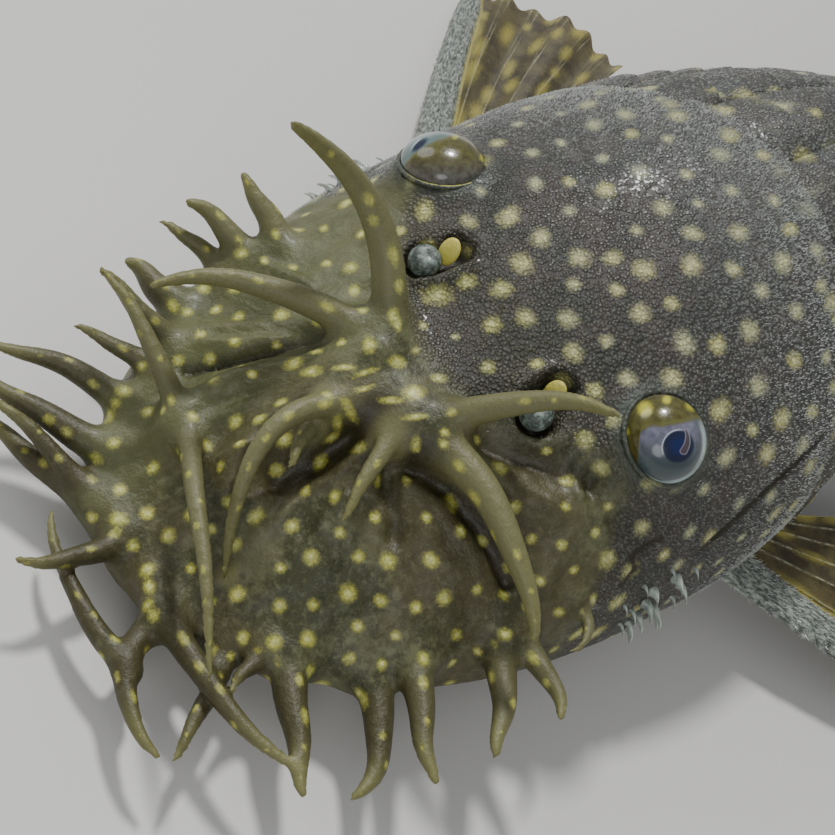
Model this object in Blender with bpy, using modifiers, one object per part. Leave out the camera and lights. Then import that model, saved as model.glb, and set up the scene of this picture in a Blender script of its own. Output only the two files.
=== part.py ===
"""A bristlenose pleco at life size: an adult male Ancistrus resting on the floor.

Sizes are in millimetres and are scaled to metres when a mesh is made. The fish looks along -Y,
its left side is +X, and its belly lies on z = 0. Along the body a place is given as a station s,
the distance behind the tip of the snout, so that y = s - ORIGIN_STATION.
"""

import math

import bmesh
import bpy
import numpy as np
from mathutils import Vector

MM = 0.001
GAP = 0.3  # between neighbouring pieces

# Driving dimensions of the body
STANDARD_LENGTH = 100.0  # tip of the snout to the root of the tail fin
ORIGIN_STATION = 45.0
HEAD_WIDTH = 33.2
HEAD_WIDEST_STATION = 24.0
SNOUT_REACH = 26.2  # from the widest station to the very front of the fleshy margin
SNOUT_END = 15.5  # the fleshy snout ends here and the plated head begins
SHIELD_END = 39.5  # rear edge of the head shield
STALK_START = 70.0  # the tail begins behind the dorsal fin
BELLY_ROUNDNESS = 3.2  # exponent of the lower half of each section

# Station, height of the back, height of the underside, height of the widest line, exponent above.
# An underside below 0 is cut off flat by the floor.
BODY_SECTIONS = (
    (-2.2, 2.6, 2.2, 2.5, 2.0),
    (0.0, 5.0, 1.8, 2.9, 2.0),
    (3.0, 7.4, 1.8, 3.1, 2.0),
    (7.0, 9.9, 1.8, 3.3, 2.05),
    (12.0, 12.6, 1.8, 3.6, 2.1),
    (18.0, 15.5, 1.8, 4.2, 2.2),
    (23.0, 17.8, -0.4, 4.6, 2.3),
    (29.0, 19.9, -0.6, 5.2, 2.35),
    (36.0, 21.6, -0.6, 6.0, 2.3),
    (46.0, 22.6, -0.6, 7.2, 2.2),
    (56.0, 20.8, -0.6, 7.6, 2.1),
    (66.0, 17.8, 0.3, 7.8, 2.1),
    (76.0, 14.8, 2.2, 7.8, 2.1),
    (86.0, 12.8, 3.0, 7.7, 2.1),
    (94.0, 12.2, 2.8, 7.5, 2.1),
    (100.0, 12.6, 2.2, 7.4, 2.1),
)
# Station and half width behind the widest part of the head
REAR_WIDTHS = (
    (24.0, 16.6),
    (30.0, 16.9),
    (36.0, 16.4),
    (42.0, 15.0),
    (50.0, 12.9),
    (60.0, 10.2),
    (70.0, 7.6),
    (80.0, 5.3),
    (90.0, 3.5),
    (100.0, 2.4),
)
BEND_START = 12.0  # y behind which the body swings sideways
BEND_RADIUS = 190.0

# Plates of the trunk and tail: rows on each side between these girth angles
SCUTE_BOUNDS = np.array([-22.0, 8.0, 30.0, 50.0, 70.0, 90.0])
BELLY_GIRTHS = (-65.0, -42.0)
TRUNK_PLATES = 12
STALK_PLATES = 11
SCUTE_LIFT = 0.3  # rise of a plate's rear edge
SCUTE_STEP = 0.35  # length of the drop behind that edge
SCUTE_ARCH = 0.6  # how far the middle of the edge reaches back
SCUTE_KEEL = 0.1
SCUTE_GROOVE = 0.12

# Eyes
EYE_RADIUS = 2.4
EYE_PLACE = (10.7, 22.7, 15.9)  # x, station, z of the left eye's centre
EYE_AXIS = (0.34, -0.08, 0.94)
LID_RADIUS = 3.4
LID_SINK = 1.9  # the lids' mound lies this much deeper than the eye

# Nostrils
NOSTRIL_PLACE = (6.0, 18.4)  # x and station
NOSTRIL_RADIUS = 1.7
NOSTRIL_DEPTH = 1.3
NOSTRIL_RIM = 0.45
NOSTRIL_FLAP = (1.15, 0.3, 1.0)  # radii of the flap that stands in the pit

# Mouth disc under the snout
LIPS_STATION = 9.0
LIPS_HALF_WIDTH = 9.6
LIPS_HALF_LENGTH = 7.8
LIPS_HEIGHT = 1.5
MOUTH_SLOT = (7.5, 2.2, 0.9)  # width, length and depth of the opening
BARBEL_LENGTH = 4.0

# Tentacles of the snout. Each row: station and girth angle of the root (0 is the left margin,
# 90 the midline of the back, 180 the right margin), length, heading (0 ahead, 90 to the left),
# turn of the heading along it, climb, turn of the climb, width near the root and, where it winds,
# the sideways and upward swing of one wave along it.
RIGHT_MARGIN = (
    (13.6, 140, 4.8, -95, 32, 25, 0, 2.0),
    (12.0, 146, 5.2, -85, 48, 24, -5, 2.0),
    (10.8, 152, 4.8, -84, 52, 18, -4, 1.5),
    (8.0, 158, 4.2, -72, 8, 10, 0, 2.4),
    (5.8, 144, 6.0, -58, -5, 25, 0, 1.7),
    (4.0, 146, 5.2, -52, 18, 10, 0, 1.5),
    (2.3, 152, 8.2, -68, 42, 8, 0, 2.1),
    (0.2, 154, 8.2, -53, -10, 5, 0, 2.1),
    (-1.5, 150, 8.8, -76, 15, 15, 0, 1.6),
    (-1.5, 170, 8.6, -68, 0, 0, 0, 2.0),
)
FRONT = (
    (-1.5, 110, 6.4, 15, -45, 8, 0, 1.6),
    (-1.5, 60, 13.2, 74, 38, 11, -8, 1.8),
    (-1.5, 10, 9.3, 0, 110, 4, 0, 1.8),
    (0.2, 11, 7.1, 43, -18, 0, 0, 1.5),
    (1.5, 20, 3.4, 23, 0, 10, 0, 1.3),
)
LEFT_MARGIN = (
    (2.5, 15, 7.6, 57, 9, 5, 0, 2.2),
    (6.0, 8, 7.4, 80, -62, 0, 0, 2.1),
    (8.2, 16, 7.0, 55, 8, 5, 0, 2.0),
    (12.6, 16, 6.8, 58, -20, 5, 0, 2.0),
    (13.4, 18, 5.6, 105, -55, 10, 0, 1.7),
)
CROWN = (
    (13.0, 97, 16.2, -134, 145, 42, -4, 2.8),
    (12.8, 98, 13.2, -62, 50, 14, -24, 2.5),
    (11.6, 88, 15.8, -10, 71, -1, -51, 2.9, -18, 15),
    (12.2, 85, 7.9, 38, -12, 2, -27, 1.8),
    (8.6, 93, 4.4, 31, 4, 11, -19, 1.6),
    (12.0, 79, 13.4, 106, -38, 18, -50, 2.8),
    (12.6, 78, 11.0, 158, -56, 50, -18, 2.3),
    (3.2, 118, 9.6, -96, 20, 30, -20, 1.8),
    (3.2, 114, 15.6, 56, 15, 30, -58, 1.6),
)
TENTACLES = RIGHT_MARGIN + FRONT + LEFT_MARGIN + CROWN
# Branches: number of the tentacle they leave, how far along it, then length to width as above
BRANCHES = ((12, 0.45, 10.0, -76, -39, 0, 0, 1.4),)
CROWN_MOUND = (12.4, 0.5, (3.2, 3.0, 1.6))  # station, sink and radii of the crown's swelling
TENTACLE_POINTS = 6
TENTACLE_SINK = 1.3  # how deep a root reaches into the flesh
TENTACLE_FLARE = 0.35
TENTACLE_TIP = 0.22

# Hooked bristles of the cheeks
CHEEK_PLACE = (16.3, 23.3, 6.3)
CHEEK_RADII = (1.5, 2.8, 1.9)
BRISTLE_ROWS = 2
BRISTLES_PER_ROW = 4
BRISTLE_LENGTH = 2.0
BRISTLE_WIDTH = 0.75

# Fins: half thickness of the membrane and of a ray, at the root and at the edge
MEMBRANE = 0.25
RAY_ROOT = 0.45
RAY_EDGE = 0.27

# First and last ray of each fin: x, station and height of the root, then azimuth and rise
PECTORAL_SPINES = (("left", 1, 31.8, 24), ("right", -1, 29.8, 42))  # side, sign, station, azimuth
PECTORAL_FIRST = (14.2, 4.4, -4)  # x and height of the spine's root, and its rise
PECTORAL_LAST = ((14.8, 37.2, 5.0), 64, -2)
PECTORAL_LENGTHS = (29.0, 27.5, 24.0, 18.5)
PECTORAL_BOW = (0.0, 4.0, -0.6)  # throw of the tips
PELVIC_FIRST = (9.6, 49.5, 0.8)
PELVIC_LAST = (9.4, 53.5, 0.8)
PELVIC_LENGTHS = (17.0, 16.5, 14.0, 11.0)
DORSAL_FIRST = ((0, 45.5, 20.5), 90, 55)
DORSAL_LAST = ((0, 67.5, 15.5), 90, 22)
DORSAL_LENGTHS = (24.0, 23.0, 19.5, 13.0)
DORSAL_BOW = (0, 1.5, -0.8)
ADIPOSE_FIRST = ((0, 83.0, 12.0), 90, 42)
ADIPOSE_LAST = ((0, 90.0, 11.2), 90, 8)
ADIPOSE_LENGTHS = (7.5, 4.0, 2.5)
ANAL_FIRST = ((0, 74.5, 3.8), 90, -17)
ANAL_LAST = ((0, 79.0, 4.0), 90, -8)
ANAL_LENGTHS = (10.0, 10.5, 9.0)
TAIL_FIRST = ((0, 100.3, 3.5), 90, -5)
TAIL_LAST = ((0, 100.3, 11.4), 90, 27)
TAIL_LENGTHS = (31.0, 27.0, 25.0, 25.0, 27.5)
TAIL_BOW = (-2.0, 0, 0)

# Colours: base colour, roughness
SKIN = ((0.10, 0.085, 0.06, 1.0), 0.35)
SHIELD = ((0.07, 0.06, 0.055, 1.0), 0.4)
FIN = ((0.12, 0.11, 0.075, 1.0), 0.4)
EYE = ((0.02, 0.03, 0.06, 1.0), 0.1)
BRISTLE = ((0.55, 0.52, 0.42, 1.0), 0.3)


def smooth(stations, values, x):
    """Cubic curve through the values, level at each highest and lowest one."""
    stations = np.array(stations, float)
    values = np.array(values, float)
    x = np.clip(x, stations[0], stations[-1])
    slope = np.diff(values) / np.diff(stations)
    tangent = np.concatenate([slope[:1], (slope[1:] + slope[:-1]) / 2, slope[-1:]])
    tangent[1:-1][slope[1:] * slope[:-1] <= 0] = 0
    i = np.clip(np.searchsorted(stations, x, side="right") - 1, 0, len(stations) - 2)
    step = stations[i + 1] - stations[i]
    t = (x - stations[i]) / step
    return (
        (2 * t**3 - 3 * t**2 + 1) * values[i]
        + (t**3 - 2 * t**2 + t) * step * tangent[i]
        + (3 * t**2 - 2 * t**3) * values[i + 1]
        + (t**3 - t**2) * step * tangent[i + 1]
    )


def half_width(s):
    """An ellipse in plan round the snout, then the listed widths."""
    ahead = (HEAD_WIDEST_STATION - np.minimum(s, HEAD_WIDEST_STATION)) / SNOUT_REACH
    front = HEAD_WIDTH / 2 * np.sqrt(np.clip(1 - ahead**2, 0, 1))
    behind = smooth(*zip(*REAR_WIDTHS), np.maximum(s, HEAD_WIDEST_STATION))
    return np.where(s < HEAD_WIDEST_STATION, front, behind)


def body_surface(s, girth, grow=0.0):
    """Points of the body at stations s and girth angles in degrees, moved out by grow."""
    s, girth, grow = np.broadcast_arrays(np.asarray(s, float), np.asarray(girth, float), grow)
    stations, back, underside, side, exponent = zip(*BODY_SECTIONS)
    cosine = np.cos(np.radians(girth))
    sine = np.sin(np.radians(girth))
    side = smooth(stations, side, s)
    above = smooth(stations, back, s) + grow - side
    below = side - smooth(stations, underside, s) + grow
    power = np.where(sine >= 0, 2 / smooth(stations, exponent, s), 2 / BELLY_ROUNDNESS)
    x = (half_width(s) + grow) * np.sign(cosine) * np.abs(cosine) ** power
    z = side + np.where(sine >= 0, above, below) * np.sign(sine) * np.abs(sine) ** power
    return np.stack([x, s - ORIGIN_STATION, z], axis=-1)


def bend(points):
    """Swings what lies behind BEND_START round an upright axis, as the tail lies aside."""
    points = np.array(points, float)
    angle = np.maximum(points[..., 1] - BEND_START, 0) / BEND_RADIUS
    reach = BEND_RADIUS - points[..., 0]
    x = BEND_RADIUS - reach * np.cos(angle)
    y = np.minimum(points[..., 1], BEND_START) + reach * np.sin(angle)
    return np.stack([x, y, points[..., 2]], axis=-1)


def unit(vector):
    return np.array(vector, float) / np.linalg.norm(vector)


def material(name, look):
    colour, roughness = look
    made = bpy.data.materials.get(name) or bpy.data.materials.new(name)
    made.use_nodes = True
    shader = made.node_tree.nodes["Principled BSDF"]
    shader.inputs["Base Color"].default_value = colour
    shader.inputs["Roughness"].default_value = roughness
    shader.inputs["Metallic"].default_value = 0.0
    return made


def new_object(name, mesh, collection, look=None):
    mesh.name = name
    if look:
        mesh.materials.clear()
        mesh.materials.append(material(f"{name}_surface", look))
    made = bpy.data.objects.new(name, mesh)
    collection.objects.link(made)
    return made


def mesh_from(points, faces):
    mesh = bpy.data.meshes.new("shape")
    mesh.from_pydata((np.asarray(points) * MM).reshape(-1, 3).tolist(), [], faces)
    return mesh


def loft(rings):
    """A closed mesh through rings of points, with a flat cap at each end."""
    count, around = rings.shape[:2]
    faces = [tuple(range(around))[::-1], tuple(range((count - 1) * around, count * around))]
    for i in range(count - 1):
        for j in range(around):
            k = (j + 1) % around
            a, b = i * around + j, i * around + k
            faces.append((a, b, b + around, a + around))
    mesh = mesh_from(rings, faces)
    return outward(mesh)


def outward(mesh):
    """Turns all faces of a closed mesh to the outside."""
    work = bmesh.new()
    work.from_mesh(mesh)
    bmesh.ops.recalc_face_normals(work, faces=work.faces)
    work.to_mesh(mesh)
    work.free()
    return mesh


def body_rings(stations, girths, grow=0.0, floor=0.0):
    """Sections at the stations, one for each, or an array with one for each point."""
    stations = np.array(stations, float)
    if stations.ndim == 1:
        stations = stations[:, None]
    rings = body_surface(stations, np.array(girths)[None, :], grow)
    rings[..., 2] = np.maximum(rings[..., 2], floor)
    return bend(rings)


def ball(centre, radii, segments=16, rings=10):
    """A sphere or ellipsoid with its place in its mesh, turned by no axis."""
    work = bmesh.new()
    bmesh.ops.create_uvsphere(work, u_segments=segments, v_segments=rings, radius=1.0)
    bmesh.ops.scale(work, vec=Vector(radii) * MM, verts=work.verts)
    bmesh.ops.translate(work, vec=Vector(centre) * MM, verts=work.verts)
    mesh = bpy.data.meshes.new("ball")
    work.to_mesh(mesh)
    work.free()
    return mesh


def tube(points, widths, resolution):
    """A tapered tube on a bevelled curve, made a closed mesh."""
    curve = bpy.data.curves.new("path", "CURVE")
    curve.dimensions = "3D"
    curve.bevel_depth = 0.5 * MM
    curve.bevel_resolution = resolution
    curve.use_fill_caps = True
    spline = curve.splines.new("POLY")
    spline.points.add(len(points) - 1)
    for target, point, width in zip(spline.points, points, widths):
        target.co = (*(Vector(point) * MM), 1.0)
        target.radius = width
    guide = bpy.data.objects.new("path", curve)
    bpy.context.scene.collection.objects.link(guide)
    graph = bpy.context.evaluated_depsgraph_get()
    mesh = bpy.data.meshes.new_from_object(guide.evaluated_get(graph))
    bpy.data.objects.remove(guide)
    bpy.data.curves.remove(curve)
    work = bmesh.new()
    work.from_mesh(mesh)
    bmesh.ops.remove_doubles(work, verts=work.verts, dist=0.01 * MM)
    bmesh.ops.recalc_face_normals(work, faces=work.faces)
    work.to_mesh(mesh)
    work.free()
    return mesh


def combine(target, meshes, operation, solver="EXACT"):
    """Applies one Boolean between the object and a collection of closed meshes."""
    helpers = bpy.data.collections.new("helpers")
    helpers.hide_render = True
    bpy.context.scene.collection.children.link(helpers)
    for mesh in meshes:
        helper = new_object("helper", mesh, helpers)
        helper.display_type = "WIRE"
    modifier = target.modifiers.new(operation.title(), "BOOLEAN")
    modifier.operation = operation
    modifier.solver = solver
    modifier.operand_type = "COLLECTION"
    modifier.collection = helpers
    graph = bpy.context.evaluated_depsgraph_get()
    result = bpy.data.meshes.new_from_object(target.evaluated_get(graph))
    target.modifiers.clear()
    target.data = result
    for helper in list(helpers.objects):
        bpy.data.objects.remove(helper)
    bpy.data.collections.remove(helpers)
    keep_largest(result)


def keep_largest(mesh):
    """Leaves only the largest closed surface of a mesh."""
    work = bmesh.new()
    work.from_mesh(mesh)
    left = set(work.verts)
    shells = []
    while left:
        shell = set()
        front = [left.pop()]
        while front:
            vert = front.pop()
            shell.add(vert)
            near = {edge.other_vert(vert) for edge in vert.link_edges} & left
            left -= near
            front.extend(near)
        shells.append(shell)
    shells.sort(key=len)
    for shell in shells[:-1]:
        bmesh.ops.delete(work, geom=list(shell), context="VERTS")
    bmesh.ops.triangulate(work, faces=work.faces)
    work.to_mesh(mesh)
    work.free()


def body_block(grow):
    """The whole body grown by a gap, to cut what stands on it."""
    stations = np.concatenate([np.linspace(-2.0, 34.0, 19), np.linspace(38.0, 100.0, 16)])
    return loft(body_rings(stations, np.arange(0, 360, 10), grow, floor=-4.0))


def tentacle(root, sink, length, heading, turn, climb, lift, width, swing=0, heave=0):
    """A tapered tube that bends evenly from its heading and climb, its root sunk by a vector."""
    steps = (np.arange(TENTACLE_POINTS) + 0.5) / TENTACLE_POINTS
    wave = np.sin(2 * np.pi * steps)
    heading = np.radians(heading + turn * steps + swing * wave)
    climb = np.radians(climb + lift * steps + heave * wave)
    direction = np.stack(
        [np.cos(climb) * np.sin(heading), -np.cos(climb) * np.cos(heading), np.sin(climb)],
        axis=-1,
    )
    path = root + np.cumsum(direction, axis=0) * length / TENTACLE_POINTS
    start = root + sink - 0.4 * TENTACLE_SINK * direction[0]
    along = np.concatenate([[0.0, 0.0], steps + 0.5 / TENTACLE_POINTS])
    flare = TENTACLE_FLARE * (1 - along) ** 6
    widths = width * (TENTACLE_TIP + (1 - TENTACLE_TIP) * (1 - along) ** 0.8 + flare)
    widths[0] *= 0.7
    return np.vstack([start, root, path]), widths


def make_tentacles():
    paths = []
    for station, girth, *bends in TENTACLES:
        root = body_surface(station, girth)
        outward_step = body_surface(station, girth, 0.1) - root
        paths.append(tentacle(root, -TENTACLE_SINK * unit(outward_step), *bends))
    for stem, share, *bends in BRANCHES:
        stem_path = paths[stem][0][1:]
        at = share * (len(stem_path) - 1)
        root = np.array([np.interp(at, range(len(stem_path)), axis) for axis in stem_path.T])
        paths.append(tentacle(root, np.zeros(3), *bends))
    return [tube(path, widths, 2) for path, widths in paths]


def make_snout(parts):
    stations = [-2.1, -1.9, -1.4, -0.5, 1.0, 3.0, 5.0, 7.0, 9.5, 12.0, 14.0, SNOUT_END]
    rings = body_rings(stations, np.arange(0, 360, 9))
    snout = new_object("snout", loft(rings), parts, SKIN)
    station, sink, radii = CROWN_MOUND
    mound = ball(body_surface(station, 90) - (0, 0, sink), radii, 16, 10)
    combine(snout, [mound, *make_tentacles()], "UNION", "MANIFOLD")


def make_head(parts):
    stations = np.linspace(SNOUT_END + GAP, SHIELD_END, 15)
    head = new_object("head", loft(body_rings(stations, np.arange(0, 360, 7.5))), parts, SHIELD)
    lids = []
    sockets = []
    rims = []
    pits = []
    for side in (1, -1):
        eye = mirrored(EYE_PLACE, side)
        axis = unit(EYE_AXIS) * (side, 1, 1)
        lids.append(ball(eye - LID_SINK * axis, [LID_RADIUS] * 3, 20, 12))
        sockets.append(ball(eye, [EYE_RADIUS + GAP] * 3, 20, 12))
        nostril = nostril_centre(side)
        rims.append(ball(nostril, [NOSTRIL_RADIUS + NOSTRIL_RIM] * 2 + [1.0], 14, 8))
        pits.append(ball(nostril, [NOSTRIL_RADIUS] * 2 + [NOSTRIL_DEPTH], 14, 8))
    combine(head, lids + rims, "UNION")
    combine(head, sockets + pits, "DIFFERENCE")
    combine(head, [nostril_flap(side) for side in (1, -1)], "UNION")


def mirrored(place, side):
    """A point given by x, station and z, on the left for side 1 and the right for side -1."""
    x, station, z = place
    return np.array([side * x, station - ORIGIN_STATION, z])


def nostril_centre(side):
    x, station = NOSTRIL_PLACE
    girths = np.linspace(20, 90, 141)
    points = body_surface(station, girths)
    height = np.interp(x, points[::-1, 0], points[::-1, 2])
    return mirrored((x, station, height), side)


def nostril_flap(side):
    """The upright flap between the two openings, sunk into the floor of the pit."""
    x, y, z = nostril_centre(side)
    return ball((x + side * 0.1, y - 0.35, z - 0.6), NOSTRIL_FLAP, 10, 8)


def make_eyes(parts):
    for name, side in (("eye_left", 1), ("eye_right", -1)):
        new_object(name, ball(mirrored(EYE_PLACE, side), [EYE_RADIUS] * 3, 16, 10), parts, EYE)


def make_lips(parts):
    work = bmesh.new()
    bmesh.ops.create_cone(work, cap_ends=True, segments=36, radius1=1.0, radius2=1.0, depth=1.0)
    size = Vector((LIPS_HALF_WIDTH, LIPS_HALF_LENGTH, LIPS_HEIGHT)) * MM
    bmesh.ops.scale(work, vec=size, verts=work.verts)
    centre = Vector((0, LIPS_STATION - ORIGIN_STATION, LIPS_HEIGHT / 2)) * MM
    bmesh.ops.translate(work, vec=centre, verts=work.verts)
    rims = [edge for edge in work.edges if abs(edge.verts[0].co.z - edge.verts[1].co.z) < 1e-6]
    bmesh.ops.bevel(work, geom=rims, offset=0.55 * MM, segments=2, affect="EDGES", profile=0.5)
    mesh = bpy.data.meshes.new("lips")
    work.to_mesh(mesh)
    work.free()
    lips = new_object("lips", mesh, parts, SKIN)
    barbels = []
    for side in (1, -1):
        points = [
            mirrored((LIPS_HALF_WIDTH - 1.2, LIPS_STATION - 1.5, 0.8), side),
            mirrored((LIPS_HALF_WIDTH + 0.6, LIPS_STATION - 0.5, 0.8), side),
            mirrored((LIPS_HALF_WIDTH + 1.8, LIPS_STATION + 1.2, 0.85), side),
            mirrored((LIPS_HALF_WIDTH + 2.2, LIPS_STATION - 1.0 + BARBEL_LENGTH, 0.9), side),
        ]
        barbels.append(tube(points, [1.1, 0.95, 0.8, 0.45], 1))
    combine(lips, barbels, "UNION")
    width, length, depth = MOUTH_SLOT
    slot = ball((0, LIPS_STATION - ORIGIN_STATION - 1.5, 0), (width / 2, length / 2, depth), 20, 8)
    combine(lips, [slot], "DIFFERENCE")


def scute_rings(start, end, plates):
    """Sections of a stretch covered in plates, each rising to an arched rear edge."""
    pitch = (end - start) / plates
    edges = start + pitch * np.arange(1, plates)
    stations = np.concatenate([[start], np.stack([edges, edges + SCUTE_STEP], axis=1).ravel(), [end]])
    raised = np.concatenate([[0.0], np.tile([1.0, 0.0], plates - 1), [1.0]])
    inner = np.concatenate([[0.0], np.ones(2 * plates - 2), [0.0]])
    middles = (SCUTE_BOUNDS[1:] + SCUTE_BOUNDS[:-1]) / 2
    side = np.sort(np.concatenate([SCUTE_BOUNDS[:-1], middles, BELLY_GIRTHS]))
    girths = np.concatenate([side, [90.0], 180.0 - side[::-1], [270.0]])
    middle = np.isin(girths, middles) | np.isin(180.0 - girths, middles)
    plated = (girths > SCUTE_BOUNDS[0] - 1) & (girths < 181.0 - SCUTE_BOUNDS[0])
    shift = inner[:, None] * np.where(middle, SCUTE_ARCH, 0.0)
    relief = np.where(middle, SCUTE_KEEL, -SCUTE_GROOVE)
    grow = plated * (SCUTE_LIFT * raised[:, None] + relief)
    return body_rings(stations[:, None] + shift, girths, grow)


def make_trunk(parts):
    trunk = scute_rings(SHIELD_END + GAP, STALK_START, TRUNK_PLATES)
    new_object("trunk", loft(trunk), parts, SHIELD)
    stalk = scute_rings(STALK_START + GAP, STANDARD_LENGTH, STALK_PLATES)
    new_object("tail_stalk", loft(stalk), parts, SHIELD)


def make_cheeks(parts):
    for name, side in (("cheek_left", 1), ("cheek_right", -1)):
        cheek = new_object(name, ball(mirrored(CHEEK_PLACE, side), CHEEK_RADII, 14, 8), parts, BRISTLE)
        bristles = []
        for row in range(BRISTLE_ROWS):
            for i in range(BRISTLES_PER_ROW):
                along = (i + 0.5 * row) / BRISTLES_PER_ROW - 0.4
                root = mirrored(CHEEK_PLACE, side) + (
                    side * 0.8,
                    2 * along * (CHEEK_RADII[1] - 0.6),
                    (row - 0.4) * 1.5,
                )
                outwards = np.array([side * 0.85, 0.6, 0.1 + 0.3 * row])
                hook = np.array([side * 0.3, -1.3, -0.1])
                t = np.array([-0.15, 0.35, 0.7, 1.0])[:, None]
                length = BRISTLE_LENGTH * (0.85 + 0.3 * (along + 0.4))
                points = root + length * (t * outwards + 0.5 * np.maximum(t, 0) ** 2 * hook)
                bristles.append(tube(points, BRISTLE_WIDTH * np.array([1.1, 1, 0.8, 0.35]), 0))
        combine(cheek, bristles, "UNION", "MANIFOLD")
        combine(cheek, [body_block(GAP)], "DIFFERENCE")


def fan(first, last, lengths, rays, bow=(0, 0, 0), spine=1.0, stem=0.0):
    """A fin's mid surface as a fan of rays, with the full thickness at each point.

    first and last are the root and direction of the first and last ray, lengths the reach of
    rays spread evenly between them, bow a sideways throw at the tips, spine how many times
    thicker the first ray is, and stem an added thickness at the very root.
    """
    leading = 0.4 / (rays - 1)
    u = np.concatenate([[-leading], np.arange(2 * rays - 1) / (2 * rays - 2)])
    crest = np.concatenate([[0.0], np.tile([1.0, 0.0], rays)[:-1]])
    crest[1] = spine
    t = np.array([0.0, 0.07, 0.2, 0.45, 0.72, 1.0])[:, None]
    at = np.clip(u, 0, 1)[:, None]
    roots = np.array(first[0]) * (1 - u[:, None]) + np.array(last[0]) * u[:, None]
    headings = np.array(first[1]) * (1 - at) + np.array(last[1]) * at
    headings /= np.linalg.norm(headings, axis=1)[:, None]
    reach = smooth(np.linspace(0, 1, len(lengths)), lengths, at[:, 0])
    reach = reach * np.where(crest > 0, 1.0, 0.95)
    points = roots + (reach * t)[..., None] * headings + (t**2)[..., None] * np.array(bow)
    ray = RAY_ROOT + (RAY_EDGE - RAY_ROOT) * t
    half = MEMBRANE + crest * (ray - MEMBRANE) + stem * np.clip(1 - t / 0.2, 0, 1) ** 2
    return points, 2 * half


def make_fin(parts, name, sheet, clearance):
    """Solidifies a fan, rays as ridges, and cuts its root along the body unless that is None."""
    points, thickness = sheet
    rows, columns = thickness.shape
    faces = []
    for i in range(rows - 1):
        for j in range(columns - 1):
            a = i * columns + j
            b = a + columns
            faces += [(a, a + 1, b + 1), (a, b + 1, b)]
    fin = new_object(name, mesh_from(bend(points), faces), parts, FIN)
    widest = thickness.max()
    group = fin.vertex_groups.new(name="thickness")
    for index, value in enumerate(thickness.ravel()):
        group.add([index], value / widest, "REPLACE")
    solidify = fin.modifiers.new("Solidify", "SOLIDIFY")
    solidify.thickness = widest * MM
    solidify.offset = 0.0
    solidify.vertex_group = group.name
    graph = bpy.context.evaluated_depsgraph_get()
    solid = bpy.data.meshes.new_from_object(fin.evaluated_get(graph))
    fin.modifiers.clear()
    fin.vertex_groups.clear()
    fin.data = outward(solid)
    if clearance is not None:
        combine(fin, [body_block(clearance)], "DIFFERENCE")


def ray_from(place, azimuth, rise):
    """A ray's root and direction; azimuth 0 points to the left side, 90 to the tail."""
    x, station, z = place
    azimuth = math.radians(azimuth)
    rise = math.radians(rise)
    direction = (
        math.cos(azimuth) * math.cos(rise),
        math.sin(azimuth) * math.cos(rise),
        math.sin(rise),
    )
    return np.array([x, station - ORIGIN_STATION, z]), np.array(direction)


def paired(ray, side):
    """The same ray on the left for side 1 and on the right for side -1."""
    root, direction = ray
    return root * (side, 1, 1), direction * (side, 1, 1)


def make_fins(parts):
    for name, side, station, azimuth in PECTORAL_SPINES:
        x, height, rise = PECTORAL_FIRST
        first = paired(ray_from((x, station, height), azimuth, rise), side)
        last = paired(ray_from(*PECTORAL_LAST), side)
        sheet = fan(first, last, PECTORAL_LENGTHS, 7, PECTORAL_BOW, 2.6)
        make_fin(parts, f"pectoral_fin_{name}", sheet, GAP + 0.15)
        first = paired(ray_from(PELVIC_FIRST, 35, 0), side)
        last = paired(ray_from(PELVIC_LAST, 70, 0), side)
        sheet = fan(first, last, PELVIC_LENGTHS, 6, (0, 1.0, 0), 1.1)
        make_fin(parts, f"pelvic_fin_{name}", sheet, GAP)
    on_plates = GAP + SCUTE_LIFT
    sheet = fan(ray_from(*DORSAL_FIRST), ray_from(*DORSAL_LAST), DORSAL_LENGTHS, 8, DORSAL_BOW, 1.9)
    make_fin(parts, "dorsal_fin", sheet, on_plates)
    sheet = fan(ray_from(*ADIPOSE_FIRST), ray_from(*ADIPOSE_LAST), ADIPOSE_LENGTHS, 3, spine=1.5)
    make_fin(parts, "adipose_fin", sheet, on_plates)
    sheet = fan(ray_from(*ANAL_FIRST), ray_from(*ANAL_LAST), ANAL_LENGTHS, 5)
    make_fin(parts, "anal_fin", sheet, GAP)
    sheet = fan(ray_from(*TAIL_FIRST), ray_from(*TAIL_LAST), TAIL_LENGTHS, 16, TAIL_BOW, 1.3, 0.9)
    make_fin(parts, "tail_fin", sheet, None)


def main():
    for old in list(bpy.data.objects):
        bpy.data.objects.remove(old)
    parts = bpy.data.collections.new("bristlenose_pleco")
    bpy.context.scene.collection.children.link(parts)
    make_snout(parts)
    make_head(parts)
    make_eyes(parts)
    make_lips(parts)
    make_trunk(parts)
    make_cheeks(parts)
    make_fins(parts)
    for made in parts.objects:
        made.data.shade_smooth()
        made.data.set_sharp_from_angle(angle=math.radians(50))


main()
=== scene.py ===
# A bristlenose pleco at life size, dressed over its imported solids.
# Lengths are in millimetres. The fish looks along -Y, its left side is +X, its belly lies at z = 0.
# A station s is the distance behind the tip of the snout, so y = s - originStation.

import math
import time

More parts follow.
